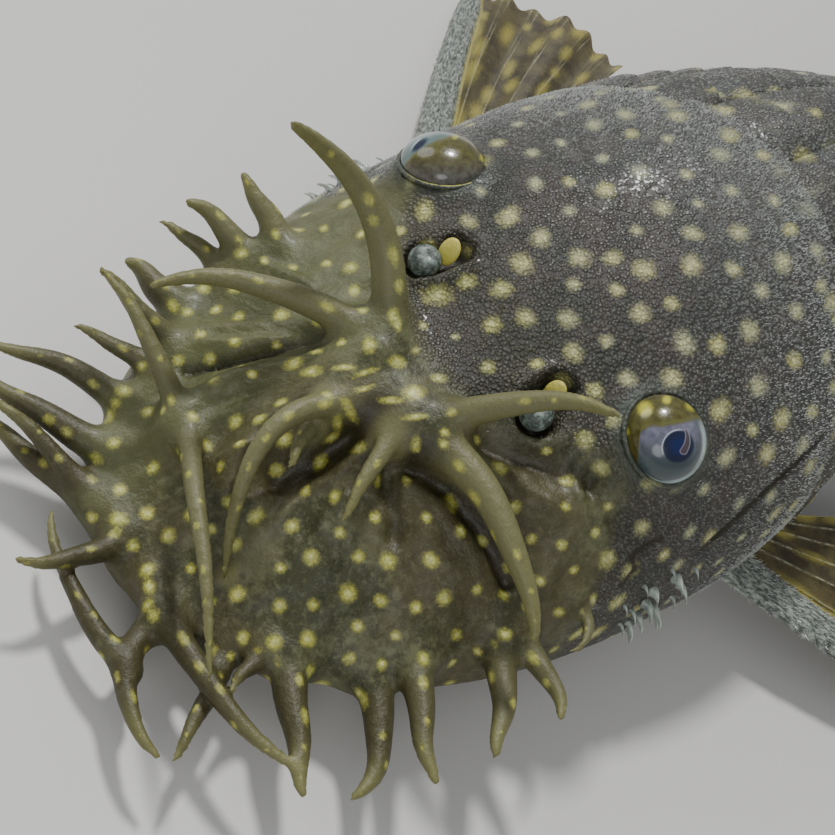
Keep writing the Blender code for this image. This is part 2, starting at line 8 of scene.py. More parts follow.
import bpy
import numpy as np
from mathutils import Euler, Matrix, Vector


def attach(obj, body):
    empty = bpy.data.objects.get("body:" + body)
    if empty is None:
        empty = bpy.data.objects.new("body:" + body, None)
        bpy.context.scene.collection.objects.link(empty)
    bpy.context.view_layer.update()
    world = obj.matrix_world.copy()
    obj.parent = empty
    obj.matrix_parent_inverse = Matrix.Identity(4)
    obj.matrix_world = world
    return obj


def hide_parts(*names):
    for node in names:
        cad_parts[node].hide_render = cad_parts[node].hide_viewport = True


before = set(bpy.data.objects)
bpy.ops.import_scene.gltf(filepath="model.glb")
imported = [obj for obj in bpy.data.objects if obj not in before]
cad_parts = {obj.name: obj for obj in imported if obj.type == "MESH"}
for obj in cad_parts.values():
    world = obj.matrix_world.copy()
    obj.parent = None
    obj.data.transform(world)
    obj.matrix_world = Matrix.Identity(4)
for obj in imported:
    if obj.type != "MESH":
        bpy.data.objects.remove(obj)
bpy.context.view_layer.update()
startTime = time.time()
millimetre = 0.001
dice = np.random.default_rng(20)


def tell(stage):
    print(f"{time.time() - startTime:6.1f} s  {stage}")


# The body's shape

body = dict(
    originStation=45.0,
    headWidth=33.2,
    widestStation=24.0,
    snoutReach=26.2,
    bellyPower=3.2,
    bendStart=12.0,
    bendRadius=190.0,
    # station, back, underside, widest line, exponent of the upper half
    sections=(
        (-2.2, 2.6, 2.2, 2.5, 2.0),
        (0.0, 5.0, 1.8, 2.9, 2.0),
        (3.0, 7.4, 1.8, 3.1, 2.0),
        (7.0, 9.9, 1.8, 3.3, 2.05),
        (12.0, 12.6, 1.8, 3.6, 2.1),
        (18.0, 15.5, 1.8, 4.2, 2.2),
        (23.0, 17.8, -0.4, 4.6, 2.3),
        (29.0, 19.9, -0.6, 5.2, 2.35),
        (36.0, 21.6, -0.6, 6.0, 2.3),
        (46.0, 22.6, -0.6, 7.2, 2.2),
        (56.0, 20.8, -0.6, 7.6, 2.1),
        (66.0, 17.8, 0.3, 7.8, 2.1),
        (76.0, 14.8, 2.2, 7.8, 2.1),
        (86.0, 12.8, 3.0, 7.7, 2.1),
        (94.0, 12.2, 2.8, 7.5, 2.1),
        (100.0, 12.6, 2.2, 7.4, 2.1),
    ),
    # station and half width behind the widest part
    rearWidths=(
        (24.0, 16.6),
        (30.0, 16.9),
        (36.0, 16.4),
        (42.0, 15.0),
        (50.0, 12.9),
        (60.0, 10.2),
        (70.0, 7.6),
        (80.0, 5.3),
        (90.0, 3.5),
        (100.0, 2.4),
    ),
)


def smoothCurve(stations, values, at):
    # Cubic through the values: on each span the Hermite sum of end values and end slopes,
    # each slope the mean of its two neighbours and zero at a highest or lowest value.
    stations = np.array(stations, float)
    values = np.array(values, float)
    at = np.clip(at, stations[0], stations[-1])
    slope = np.diff(values) / np.diff(stations)
    tangent = np.concatenate([slope[:1], (slope[1:] + slope[:-1]) / 2, slope[-1:]])
    tangent[1:-1][slope[1:] * slope[:-1] <= 0] = 0
    i = np.clip(np.searchsorted(stations, at, side="right") - 1, 0, len(stations) - 2)
    step = stations[i + 1] - stations[i]
    t = (at - stations[i]) / step
    return (
        (2 * t**3 - 3 * t**2 + 1) * values[i]
        + (t**3 - 2 * t**2 + t) * step * tangent[i]
        + (3 * t**2 - 2 * t**3) * values[i + 1]
        + (t**3 - t**2) * step * tangent[i + 1]
    )


def smoothstep(value, low, high):
    # 3t^2 - 2t^3 of the share t of the way from low to high.
    t = np.clip((value - low) / (high - low), 0, 1)
    return t * t * (3 - 2 * t)


def halfWidth(s):
    # Ahead of the widest station the half width of an ellipse in plan, behind it the list's curve.
    ahead = (body["widestStation"] - np.minimum(s, body["widestStation"])) / body["snoutReach"]
    front = body["headWidth"] / 2 * np.sqrt(np.clip(1 - ahead**2, 0, 1))
    behind = smoothCurve(*zip(*body["rearWidths"]), np.maximum(s, body["widestStation"]))
    return np.where(s < body["widestStation"], front, behind)


def sectionAt(s):
    # Heights of the back, underside and widest line and the upper exponent, each a curve along s.
    stations, back, underside, side, power = zip(*body["sections"])
    return tuple(smoothCurve(stations, row, s) for row in (back, underside, side, power))


def bodySurface(s, girth, grow=0.0):
    # A superellipse in each section: x = (half width + grow) * cos^p of the girth angle, and
    # z = widest line + (height above or below + grow) * sin^p, with p = 2 / exponent.
    s, girth, grow = np.broadcast_arrays(np.asarray(s, float), np.asarray(girth, float), grow)
    back, underside, side, power = sectionAt(s)
    cosine, sine = np.cos(np.radians(girth)), np.sin(np.radians(girth))
    reach = np.where(sine >= 0, back + grow - side, side - underside + grow)
    power = np.where(sine >= 0, 2 / power, 2 / body["bellyPower"])
    x = (halfWidth(s) + grow) * np.sign(cosine) * np.abs(cosine) ** power
    z = side + reach * np.sign(sine) * np.abs(sine) ** power
    return np.stack([x, s - body["originStation"], z], axis=-1)


def bend(points):
    # What lies behind bendStart turns about an upright axis at x = bendRadius, by its distance
    # behind the start over the radius.
    radius = body["bendRadius"]
    angle = np.maximum(points[..., 1] - body["bendStart"], 0) / radius
    reach = radius - points[..., 0]
    x = radius - reach * np.cos(angle)
    y = np.minimum(points[..., 1], body["bendStart"]) + reach * np.sin(angle)
    return np.stack([x, y, points[..., 2]], axis=-1)


def unit(vectors):
    return vectors / np.maximum(np.linalg.norm(vectors, axis=-1, keepdims=True), 1e-9)


# Meshes from arrays


def facingOut(points, faces):
    # The faces, turned round where the volume that they enclose comes out negative.
    volume = 0.0
    for part in faces:
        for i in range(1, part.shape[1] - 1):
            a, b, c = (points[part[:, k]] for k in (0, i, i + 1))
            volume += (a * np.cross(b, c)).sum() / 6
    return faces if volume >= 0 else [part[:, ::-1] for part in faces]


def meshPiece(name, points, faces, surface, layers=None, places=None, smooth=True):
    # points is (n, 3) in millimetres, faces a list of index arrays of three or four columns.
    faces = facingOut(points, faces)
    mesh = bpy.data.meshes.new(name)
    mesh.vertices.add(len(points))
    mesh.vertices.foreach_set("co", (points * millimetre).astype(np.float32).ravel())
    corners = np.concatenate([part.ravel() for part in faces]).astype(np.int32)
    sizes = np.concatenate([np.full(len(part), part.shape[1]) for part in faces])
    mesh.loops.add(len(corners))
    mesh.loops.foreach_set("vertex_index", corners)
    mesh.polygons.add(len(sizes))
    mesh.polygons.foreach_set("loop_start", (np.cumsum(sizes) - sizes).astype(np.int32))
    mesh.polygons.foreach_set("use_smooth", np.full(len(sizes), smooth))
    mesh.update(calc_edges=True)
    for layer, values in (layers or {}).items():
        made = mesh.attributes.new(layer, "FLOAT", "POINT")
        made.data.foreach_set("value", np.asarray(values, np.float32).ravel())
    if places is not None:
        mesh.uv_layers.new(name="OFBake").uv.foreach_set(
            "vector", places[corners].astype(np.float32).ravel()
        )
    mesh.materials.append(surface)
    piece = bpy.data.objects.new(name, mesh)
    bpy.context.scene.collection.objects.link(piece)
    return piece


def ringFaces(rings, around, first=0):
    # Quads between neighbouring rings of a tube, and a fan of quads-turned-triangles at each end
    # onto the point that follows the last ring for the far end and the one after for the near end.
    i, j = np.meshgrid(np.arange(rings - 1), np.arange(around), indexing="ij")
    a = i * around + j
    b = i * around + (j + 1) % around
    sides = np.stack([a, b, b + around, a + around], axis=-1).reshape(-1, 4)
    j = np.arange(around)
    k = (j + 1) % around
    last = (rings - 1) * around
    near, far = rings * around, rings * around + 1
    caps = np.concatenate(
        [
            np.stack([np.full(around, near), k, j], axis=-1),
            np.stack([np.full(around, far), last + j, last + k], axis=-1),
        ]
    )
    return sides + first, caps + first


def slabFaces(n, m):
    # Quads of a grid of n by m points, of a second one under it, and of the wall between them.
    index = np.arange(n * m).reshape(n, m)
    a, b, c, d = index[:-1, :-1], index[:-1, 1:], index[1:, 1:], index[1:, :-1]
    top = np.stack([a, b, c, d], axis=-1).reshape(-1, 4)
    rim = np.concatenate([index[0, :], index[1:, -1], index[-1, -2::-1], index[-2:0:-1, 0]])
    ahead = np.roll(rim, -1)
    wall = np.stack([ahead, rim, rim + n * m, ahead + n * m], axis=-1)
    return np.concatenate([top, top[:, ::-1] + n * m, wall])


def closedRings(rings):
    # A closed skin over an array of rings (count, around, 3), each end closed by its middle.
    count, around = rings.shape[:2]
    points = np.concatenate(
        [rings.reshape(-1, 3), rings[:1].mean(axis=1), rings[-1:].mean(axis=1)]
    )
    return points, list(ringFaces(count, around))


def joined(parts):
    # Several (points, faces) made one, each part's indices moved on by the points before it.
    points, faces, first = [], [], 0
    for partPoints, partFaces in parts:
        points.append(partPoints)
        faces += [part + first for part in partFaces]
        first += len(partPoints)
    return np.concatenate(points), faces


def manySpikes(roots, directions, hooks, lengths, radii, rings, sides, taper):
    # Every spike follows root + length * (t * direction + t^2 * hook), its radius falling as
    # (1 - t)^taper; all spikes are one array of (spike, ring, corner, axis).
    t = np.linspace(0, 1, rings + 1)[:-1]
    across = unit(np.cross(directions, [0.31, 0.17, 0.93]))
    up = unit(np.cross(directions, across))
    turn = np.arange(sides) * 2 * np.pi / sides
    circle = (
        np.cos(turn)[:, None] * across[:, None, :] + np.sin(turn)[:, None] * up[:, None, :]
    )
    curve = t[:, None] * directions[:, None] + t[:, None] ** 2 * hooks[:, None]
    spine = roots[:, None] + lengths[:, None, None] * curve
    width = radii[:, None] * (1 - t) ** taper
    points = spine[:, :, None] + width[:, :, None, None] * circle[:, None]
    tips = roots + lengths[:, None] * (directions + hooks)
    each = rings * sides + 2
    block = np.concatenate(
        [points.reshape(len(roots), -1, 3), roots[:, None], tips[:, None]], axis=1
    )
    first = np.arange(len(roots))[:, None, None] * each
    faces = [
        (part[None] + first).reshape(-1, part.shape[1]) for part in ringFaces(rings, sides)
    ]
    return block.reshape(-1, 3), faces


# Tentacles

# Each row: station and girth angle of the root (0 the left margin, 90 the back's midline),
# length, heading (0 ahead, 90 to the left), its turn, climb, its turn, width near the root and,
# where it winds, the sideways and upward swing of one wave along it.
tentacleRows = dict(
    rightMargin=(
        (13.6, 140, 4.8, -95, 32, 25, 0, 2.0),
        (12.0, 146, 5.2, -85, 48, 24, -5, 2.0),
        (10.8, 152, 4.8, -84, 52, 18, -4, 1.5),
        (8.0, 158, 4.2, -72, 8, 10, 0, 2.4),
        (5.8, 144, 6.0, -58, -5, 25, 0, 1.7),
        (4.3, 146, 5.0, -56, 18, 12, 0, 1.4),
        (2.2, 153, 8.2, -68, 42, 6, 0, 1.8),
        (0.2, 154, 8.2, -53, -10, 5, 0, 2.1),
        (-1.5, 150, 8.8, -76, 15, 15, 0, 1.6),
        (-1.5, 170, 8.6, -68, 0, 0, 0, 2.0),
    ),
    front=(
        (-1.5, 110, 6.4, 15, -45, 8, 0, 1.6),
        (-1.5, 60, 13.2, 74, 38, 11, -8, 1.8),
        (-1.5, 10, 9.3, 0, 110, 4, 0, 1.8),
        (0.2, 11, 7.1, 43, -18, 0, 0, 1.5),
        (1.5, 20, 3.4, 23, 0, 10, 0, 1.3),
    ),
    leftMargin=(
        (2.5, 15, 7.6, 57, 9, 5, 0, 2.2),
        (6.0, 8, 7.4, 80, -62, 0, 0, 2.1),
        (8.2, 16, 7.0, 55, 8, 5, 0, 2.0),
        (12.6, 16, 6.8, 58, -20, 5, 0, 2.0),
        (13.4, 18, 5.6, 105, -55, 10, 0, 1.7),
        (17.0, 22, 3.6, 100, -120, 12, -20, 0.9),
    ),
    crown=(
        (13.0, 97, 16.2, -134, 145, 42, -4, 2.3),
        (12.8, 98, 13.2, -62, 50, 14, -24, 2.0),
        (11.6, 88, 15.8, -10, 71, -1, -51, 1.6, -18, 15),
        (12.2, 85, 7.9, 38, -12, 2, -27, 1.6),
        (8.6, 93, 4.4, 31, 4, 11, -19, 1.4),
        (12.0, 79, 13.4, 106, -38, 18, -50, 2.4),
        (12.6, 78, 11.0, 158, -56, 50, -18, 1.9),
        (3.2, 118, 9.6, -96, 20, 30, -20, 1.5),
        (3.2, 114, 15.6, 56, 15, 30, -58, 1.35),
    ),
)
tentacleShape = dict(
    points=24,
    sink=1.3,
    tip=0.21,
    taper=0.75,
    waver=0.10,
    marginBlend=1.9,
    crownBlend=1.8,
    tipBlend=0.12,
    branchOf=12,
    branchShare=0.45,
    branch=(10.0, -76, -39, 0, 0, 1.4),
)


def tentaclePath(root, sink, length, heading, turn, climb, lift, width, swing=0, heave=0):
    # Equal steps whose heading and climb change evenly and by one sine wave, summed from the root,
    # with a slight waver; the radius falls from half the width to its tip's share as (1 - t)^taper.
    count = tentacleShape["points"]
    steps = (np.arange(count) + 0.5) / count
    wave = np.sin(2 * np.pi * steps)
    heading = np.radians(heading + turn * steps + swing * wave)
    climb = np.radians(climb + lift * steps + heave * wave)
    direction = np.stack(
        [np.cos(climb) * np.sin(heading), -np.cos(climb) * np.cos(heading), np.sin(climb)], axis=-1
    )
    path = root + np.cumsum(direction, axis=0) * length / count
    sway = tentacleShape["waver"] * width * np.sin(9 * steps + length * 7) * steps
    path = path + sway[:, None] * np.stack([np.cos(heading), np.sin(heading), 0 * steps], axis=-1)
    start = root + sink - 0.4 * tentacleShape["sink"] * direction[0]
    along = np.concatenate([[0.0, 0.0], steps + 0.5 / count])
    tip = tentacleShape["tip"]
    radii = width / 2 * (tip + (1 - tip) * (1 - along) ** tentacleShape["taper"])
    radii[0] *= 0.7
    return np.vstack([start, root, path]), radii


def allTentacles():
    # (path, radii, blend at the root) of each tentacle, the branch last.
    made = []
    for group, rows in tentacleRows.items():
        blend = tentacleShape["crownBlend" if group == "crown" else "marginBlend"]
        for station, girth, *bends in rows:
            root = bodySurface(station, girth)
            outward = unit(bodySurface(station, girth, 0.1) - root)
            made.append((*tentaclePath(root, -tentacleShape["sink"] * outward, *bends), blend))
    stem = made[tentacleShape["branchOf"]][0][1:]
    root = stem[int(tentacleShape["branchShare"] * (len(stem) - 1))]
    made.append((*tentaclePath(root, np.zeros(3), *tentacleShape["branch"]), 0.7))
    return made


tentacles = allTentacles()

# The front of the skin as a distance field

eyes = dict(
    radius=2.5,
    place=(10.7, 22.7, 15.9),
    axis=(0.34, -0.08, 0.94),
    domeHeight={1: 1.9, -1: 1.55},
    socketRadius=2.44,
    lidRadius=3.35,
    lidSink=2.45,
    shift={1: (-0.08, 0.22, 0.12), -1: (0.0, 0.0, 0.0)},
    rimHeight=-0.12,
    rimRadius=2.60,
    rimWidth=0.15,
    lineStrength={1: 0.15, -1: 0.45},
)
nostrils = dict(
    place={1: (5.8, 18.4), -1: (5.2, 18.5)},  # x and station on the left and on the right
    pits=((0.1, -0.8, 1.22, 1.2), (-0.35, 0.85, 1.08, 1.15)),  # outwards, back, radius, depth
    rimRadius=1.85,
    rimWidth=0.34,
)
crown = dict(station=12.4, sink=0.5, radii=(3.4, 3.2, 1.7), blend=2.0)
net = dict(step=0.25, edgeStation=39.9, edgeDive=0.9, endStation=42.5, smoothing=5)

# Raised folds of the snout: (x, station) points in plan, half width and height
wrinkles = ((-3.6, 7.8, 2.2), (-1.4, 1.2, 1.6), (-8.0, 9.5, 2.2))  # x, station and size of a patch
ripples = dict(count=24, height=0.07, inner=3.4, outer=13.5)
folds = (
    (((-0.8, 10.6), (-1.5, 7.8), (-1.6, 5.6), (-0.9, 3.8), (0.4, 2.5)), 1.0, 1.4),
    (((-1.0, 12.0), (-3.6, 9.2), (-5.4, 5.6), (-5.0, 2.2)), 0.75, 0.85),
    (((-3.0, 12.6), (-6.4, 10.4), (-9.6, 7.0)), 0.5, 0.4),
    (((2.4, 12.0), (3.8, 9.0), (4.4, 6.0)), 0.5, 0.35),
    (((5.5, 14.0), (8.5, 14.6), (11.0, 16.4)), 0.7, 0.5),
    (((9.5, 18.5), (12.0, 17.0), (13.4, 15.0)), 0.5, 0.4),
    (((-1.4, 11.5), (-2.8, 8.0), (-3.6, 4.2)), 0.55, 0.55),
    (((0.8, 11.0), (0.2, 7.0), (-1.4, 3.0)), 0.40, 0.35),
    (((1.8, 11.5), (2.6, 8.0), (3.0, 4.5)), 0.30, 0.25),
    (((-3.5, 11.5), (-6.2, 9.0), (-8.6, 6.5)), 0.35, 0.28),
    (((-4.0, 13.0), (-7.5, 12.5), (-11.0, 11.8)), 0.35, 0.30),
    (((3.5, 13.0), (6.5, 13.0), (9.0, 14.5)), 0.6, 0.35),
    (((0.2, 9.0), (1.5, 6.0), (1.8, 2.5)), 0.25, 0.20),
    (((-2.2, 9.5), (-4.6, 6.0), (-6.4, 3.8)), 0.22, 0.18),
)
# Hollows of the snout in the same way
hollows = (
    (((1.3, 10.4), (1.4, 7.6), (1.3, 5.6)), 0.8, 0.85),
    (((4.4, 11.0), (6.6, 12.3), (9.3, 13.0), (12.0, 13.5)), 0.60, 0.80),
    (((-5.0, 11.0), (-8.5, 9.4), (-11.5, 8.5)), 0.9, 0.30),
    (((-4.3, 11.2), (-5.4, 9.2), (-6.5, 7.0), (-7.5, 5.3)), 0.36, 0.70),
    (((3.9, 10.0), (5.5, 9.5), (7.4, 8.9)), 0.5, 0.45),
    (((5.6, 14.4), (7.8, 16.5), (10.3, 18.7)), 0.6, 0.65),
)


# Gaps between the head's side plates: (station, girth) points, half width of the gap
grooves = (
    (((22.2, 31), (21.2, 31.4), (20.3, 30), (20.6, 25.5), (19.8, 22.5)), 0.17),
    (((25.5, 18.9), (26.5, 21.1), (28.4, 24.8), (29.9, 27.3), (31.8, 29.5), (34.8, 32.0)), 0.24),
)


def groovesOf(side):
    # Each gap's path on the surface of one side and its half width, less at both ends.
    made = []
    for line, width in grooves:
        path = np.array([bodySurface(station, girth) for station, girth in line]) * (side, 1, 1)
        made.append((path, width * np.concatenate([[0.5], np.ones(len(path) - 2), [0.5]])))
    return made


groovePaths = groovesOf(1) + groovesOf(-1)


def mirrored(place, side):
    x, station, z = place
    return np.array([side * x, station - body["originStation"], z])


def eyeCentre(side):
    return mirrored(eyes["place"], side) + eyes["shift"][side]


def nostrilCentre(side):
    # The place on the surface straight above the given x and station.
    x, station = nostrils["place"][side]
    arc = bodySurface(station, np.linspace(20, 90, 141))
    return mirrored((x, station, np.interp(x, arc[::-1, 0], arc[::-1, 2])), side)


def pitCentre(side, sideways, behind):
    # A nostril's pit lies on the slope of the head: lower outwards, higher towards the back.
    return nostrilCentre(side) + (side * sideways, behind, -0.4 * sideways + 0.38 * behind)


def waves(x, y, z, size, seed, count=7):
    # A mean of sines, each along its own random direction, at wavelengths near the given size.
    local = np.random.default_rng(seed)
    total = 0.0
    for _ in range(count):
        direction = unit(local.normal(size=3)) * 2 * np.pi / (size * local.uniform(0.7, 1.4))
        total = total + np.sin(
            direction[0] * x + direction[1] * y + direction[2] * z + local.uniform(0, 6.28)
        )
    return total / count


def planDistance(x, y, line):
    # The distance in plan from each point to the nearest stretch of a line of points.
    line = np.array(line, float) - (0, body["originStation"])
    best = np.full(np.broadcast(x, y).shape, 1e3)
    for a, b in zip(line[:-1], line[1:]):
        step = b - a
        t = np.clip(((x - a[0]) * step[0] + (y - a[1]) * step[1]) / (step @ step), 0, 1)
        best = np.minimum(best, np.hypot(x - a[0] - t * step[0], y - a[1] - t * step[1]))
    return best


def fleshShare(x, station):
    # 1 on the soft snout and 0 on the plated head; the border runs back towards each side.
    border = 14.2 + np.minimum(0.06 * x**2, 5.8) - 0.8 * np.maximum(np.abs(x) - 12, 0)
    return 1 - smoothstep(station, border - 0.8, border + 1.1)


def crownTurn(x, y):
    # The angle in plan round the crown, 0 straight ahead of it.
    return np.arctan2(x, crown["station"] - body["originStation"] - y)


def relief(x, y):
    # Height added to the upper surface: bell-shaped folds less hollows, low waves, and ripples
    # that run out from the crown as the sine of the angle round it times their count.
    height = np.zeros(np.broadcast(x, y).shape)
    for line, width, rise in folds:
        height = height + rise * np.exp(-((planDistance(x, y, line) / width) ** 2))
    for line, width, drop in hollows:
        height = height - drop * np.exp(-((planDistance(x, y, line) / width) ** 2))
    soft = fleshShare(x, y + body["originStation"])
    height = height + soft * (0.22 * waves(x, y, 0, 3.2, 1) + 0.14 * waves(x, y, 0, 1.4, 2))
    reach = np.hypot(x, y + body["originStation"] - crown["station"])
    fan = np.sin(ripples["count"] * crownTurn(x, y) + 5 * waves(x, y, 0, 5.0, 5))
    ring = smoothstep(reach, ripples["inner"], ripples["inner"] + 2) * (
        1 - smoothstep(reach, ripples["outer"] - 4, ripples["outer"])
    )
    height = height + soft * ring * ripples["height"] * fan * (0.6 + 0.8 * waves(x, y, 0, 4.0, 6))
    return height + (1 - soft) * 0.06 * waves(x, y, 0, 4.0, 3)


def softMin(a, b, blend):
    # The lesser of two fields, rounded where they differ by less than the blend.
    share = np.clip(0.5 + 0.5 * (b - a) / blend, 0, 1)
    return b * (1 - share) + a * share - blend * share * (1 - share)


def shieldEdge(x):
    # The rear edge of the head's shield runs forward towards the sides as x^2.
    return net["edgeStation"] - np.minimum(0.03 * x**2, 3.4)


def bodyField(x, y, z, step):
    # Along the ray from the section's middle, the distance past the superellipse, divided by the
    # slope of that distance so that it measures straight out of the surface.
    s = y + body["originStation"]
    back, underside, side, power = sectionAt(s)
    edge = shieldEdge(x)
    shrink = net["edgeDive"] * smoothstep(s, edge, edge + 0.7)
    width = np.maximum(halfWidth(s), 0.5)
    upper = z > side
    height = np.where(upper, back - side, side - underside)
    power = np.where(upper, power, body["bellyPower"])
    ratio = ((np.abs(x) / width) ** power + (np.abs(z - side) / height) ** power) ** (1 / power)
    reach = np.sqrt(x**2 + (z - side) ** 2)
    gap = (reach - reach / np.maximum(ratio, 1e-3)).astype(np.float32)
    slope = np.sqrt(sum(part**2 for part in np.gradient(gap, step)))
    gap = gap / np.clip(slope, 0.6, 3.0)
    gap = gap + shrink - relief(x, y) * smoothstep(z, side, side + 2.0)
    gap = np.maximum(gap, -2.1 - s)
    return np.maximum(gap, s - net["endStation"]).astype(np.float32)


def localBox(axes, low, high):
    # Slices of the grid that hold a box, and the coordinates in them.
    spans = [
        slice(*np.clip(np.searchsorted(axis, (a, b)) + (-1, 1), 0, len(axis)))
        for axis, a, b in zip(axes, low, high)
    ]
    return tuple(spans), np.meshgrid(
        *[axis[span] for axis, span in zip(axes, spans)], indexing="ij", sparse=True
    )


def chainDistance(points, path, radii):
    # The least distance to any stretch of the path less the radius there, and how far along it is.
    best = np.full(np.broadcast(*points).shape, 1e3, np.float32)
    along = np.zeros_like(best)
    count = len(path) - 1
    for i in range(count):
        step = path[i + 1] - path[i]
        rise = sum((p - a) * d for p, a, d in zip(points, path[i], step)) / (step @ step)
        t = np.clip(rise, 0, 1)
        gap = np.sqrt(sum((p - a - t * d) ** 2 for p, a, d in zip(points, path[i], step)))
        gap = gap - (radii[i] + t * (radii[i + 1] - radii[i]))
        nearer = gap < best
        best = np.where(nearer, gap, best)
        along = np.where(nearer, (i + t) / count, along)
    return best, along


def ballField(points, centre, radii):
    # The scaled distance from an ellipsoid: (r - 1) times its mean radius over the slope.
    ratio = np.sqrt(sum(((p - c) / r) ** 2 for p, c, r in zip(points, centre, radii)))
    return (ratio - 1) * np.min(radii)


def ringField(points, centre, axis, radius, width):
    # The distance from a circle round an axis, less the ring's half width.
    offset = [p - c for p, c in zip(points, centre)]
    height = sum(o * a for o, a in zip(offset, axis))
    across = np.sqrt(np.maximum(sum(o**2 for o in offset) - height**2, 0))
    return np.hypot(across - radius, height) - width


def frontField():
    # The body, joined softly with the crown, tentacles, lids and rims, less sockets and pits.
    step = net["step"]
    reach = np.concatenate([path for path, _, _ in tentacles])
    low = np.minimum(reach.min(axis=0) - 1.5, (-17.6, -48, -0.6))
    high = np.maximum(reach.max(axis=0) + 1.5, (17.6, net["endStation"] - 44.4, 22.0))
    axes = [np.arange(a, b, step) for a, b in zip(low, high)]
    x, y, z = np.meshgrid(*axes, indexing="ij", sparse=True)
    field = bodyField(x, y, z, step)

    def merge(low, high, shape, blend):
        spans, points = localBox(axes, low, high)
        field[spans] = softMin(field[spans], shape(points), blend)

    def carve(low, high, shape, blend):
        spans, points = localBox(axes, low, high)
        field[spans] = -softMin(-field[spans], shape(points), blend)

    middle = bodySurface(crown["station"], 90) - (0, 0, crown["sink"])
    merge(middle - 6, middle + 6, lambda p: ballField(p, middle, crown["radii"]), crown["blend"])
    for path, sizes in groovePaths:
        carve(
            path.min(axis=0) - 1, path.max(axis=0) + 1, lambda p: chainDistance(p, path, sizes)[0], 0.2
        )
    for path, radii, rootBlend in tentacles:
        margin = radii.max() + rootBlend + 0.5
        spans, points = localBox(axes, path.min(axis=0) - margin, path.max(axis=0) + margin)
        gap, along = chainDistance(points, path, radii)
        blend = tentacleShape["tipBlend"] + (rootBlend - tentacleShape["tipBlend"]) * np.clip(
            1 - along / 0.45, 0, 1
        )
        field[spans] = softMin(field[spans], gap, blend)
    axis = unit(np.array(eyes["axis"]))
    for side in (1, -1):
        eye = eyeCentre(side)
        outward = axis * (side, 1, 1)
        lid = eye - eyes["lidSink"] * outward
        merge(eye - 6, eye + 6, lambda p: ballField(p, lid, [eyes["lidRadius"]] * 3), 1.4)
        carve(eye - 4, eye + 4, lambda p: ballField(p, eye, [eyes["socketRadius"]] * 3), 0.12)
        nostril = nostrilCentre(side)
        rim = nostril - (0, 0, 0.1)
        tilt = unit(np.array([side * 0.3, -0.35, 0.9]))
        merge(
            nostril - 4,
            nostril + 4,
            lambda p: ringField(p, rim, tilt, nostrils["rimRadius"], nostrils["rimWidth"]),
            0.8,
        )
        for sideways, behind, radius, depth in nostrils["pits"]:
            pit = pitCentre(side, sideways, behind)
            shape = [radius, radius, depth]
            carve(nostril - 4, nostril + 4, lambda p: ballField(p, pit, shape), 0.6)
    return np.maximum(field, -z.astype(np.float32)), low, step


def surfaceNet(field, low, step):
    # One point in each grid cell that the surface crosses, at the mean of the crossings on the
    # cell's twelve edges, and one quad round each grid edge that it crosses.
    inside = field < 0
    count = sum(
        inside[a : a + inside.shape[0] - 1, b : b + inside.shape[1] - 1, c : c + inside.shape[2] - 1]
        .astype(np.int8)
        for a in (0, 1)
        for b in (0, 1)
        for c in (0, 1)
    )
    mixed = (count > 0) & (count < 8)
    cells = np.argwhere(mixed)
    index = np.full(mixed.shape, -1, np.int32)
    index[mixed] = np.arange(len(cells))
    total = np.zeros((len(cells), 3))
    crossings = np.zeros(len(cells))
    faces = []
    for axis in range(3):
        u, v = (axis + 1) % 3, (axis + 2) % 3
        along = np.eye(3, dtype=int)[axis]
        for b in (0, 1):
            for c in (0, 1):
                offset = b * np.eye(3, dtype=int)[u] + c * np.eye(3, dtype=int)[v]
                near = field[tuple((cells + offset).T)]
                far = field[tuple((cells + offset + along).T)]
                crossed = (near < 0) != (far < 0)
                t = np.where(crossed, near / np.where(crossed, near - far, 1), 0)
                total += crossed[:, None] * (offset + t[:, None] * along)
                crossings += crossed
        lower = inside.take(range(inside.shape[axis] - 1), axis=axis)
        upper = inside.take(range(1, inside.shape[axis]), axis=axis)
        edges = np.argwhere(lower != upper)
        limits = np.array(mixed.shape)
        good = (edges[:, u] > 0) & (edges[:, v] > 0)
        good &= (edges[:, u] < limits[u]) & (edges[:, v] < limits[v])
        edges = edges[good]
        du, dv = np.eye(3, dtype=int)[u], np.eye(3, dtype=int)[v]
        quad = np.stack(
            [index[tuple((edges - shift).T)] for shift in (du + dv, dv, 0 * du, du)], axis=-1
        )
        outwards = lower[tuple(edges.T)]
        faces.append(np.where(outwards[:, None], quad, quad[:, ::-1]))
    points = low + step * (cells + total / crossings[:, None])
    return points, np.concatenate(faces)


def edgesOf(faces):
    ends = np.concatenate([faces[:, [0, 1]], faces[:, [1, 2]], faces[:, [2, 3]], faces[:, [3, 0]]])
    return np.unique(np.sort(ends, axis=1), axis=0)


def largestPart(points, faces):
    # Labels run along the edges, each point taking its neighbours' least, until nothing changes.
    a, b = edgesOf(faces).T
    label = np.arange(len(points))
    while True:
        least = np.minimum(label[a], label[b])
        new = label.copy()
        np.minimum.at(new, a, least)
        np.minimum.at(new, b, least)
        new = new[new]
        if (new == label).all():
            break
        label = new
    keep = label == np.bincount(label).argmax()
    index = np.cumsum(keep) - 1
    return points[keep], index[faces[keep[faces[:, 0]]]]


def relaxed(points, faces, rounds):
    # Each round moves every point towards its neighbours' mean and then back a little further,
    # which smooths without shrinking.
    a, b = edgesOf(faces).T
    degree = np.bincount(np.concatenate([a, b]), minlength=len(points))[:, None]
    for _ in range(rounds):
        for share in (0.5, -0.52):
            total = np.stack(
                [
                    np.bincount(a, points[b, i], len(points)) + np.bincount(b, points[a, i], len(points))
                    for i in range(3)
                ],
                axis=-1,
            )
            points = points + share * (total / degree - points)
    return points


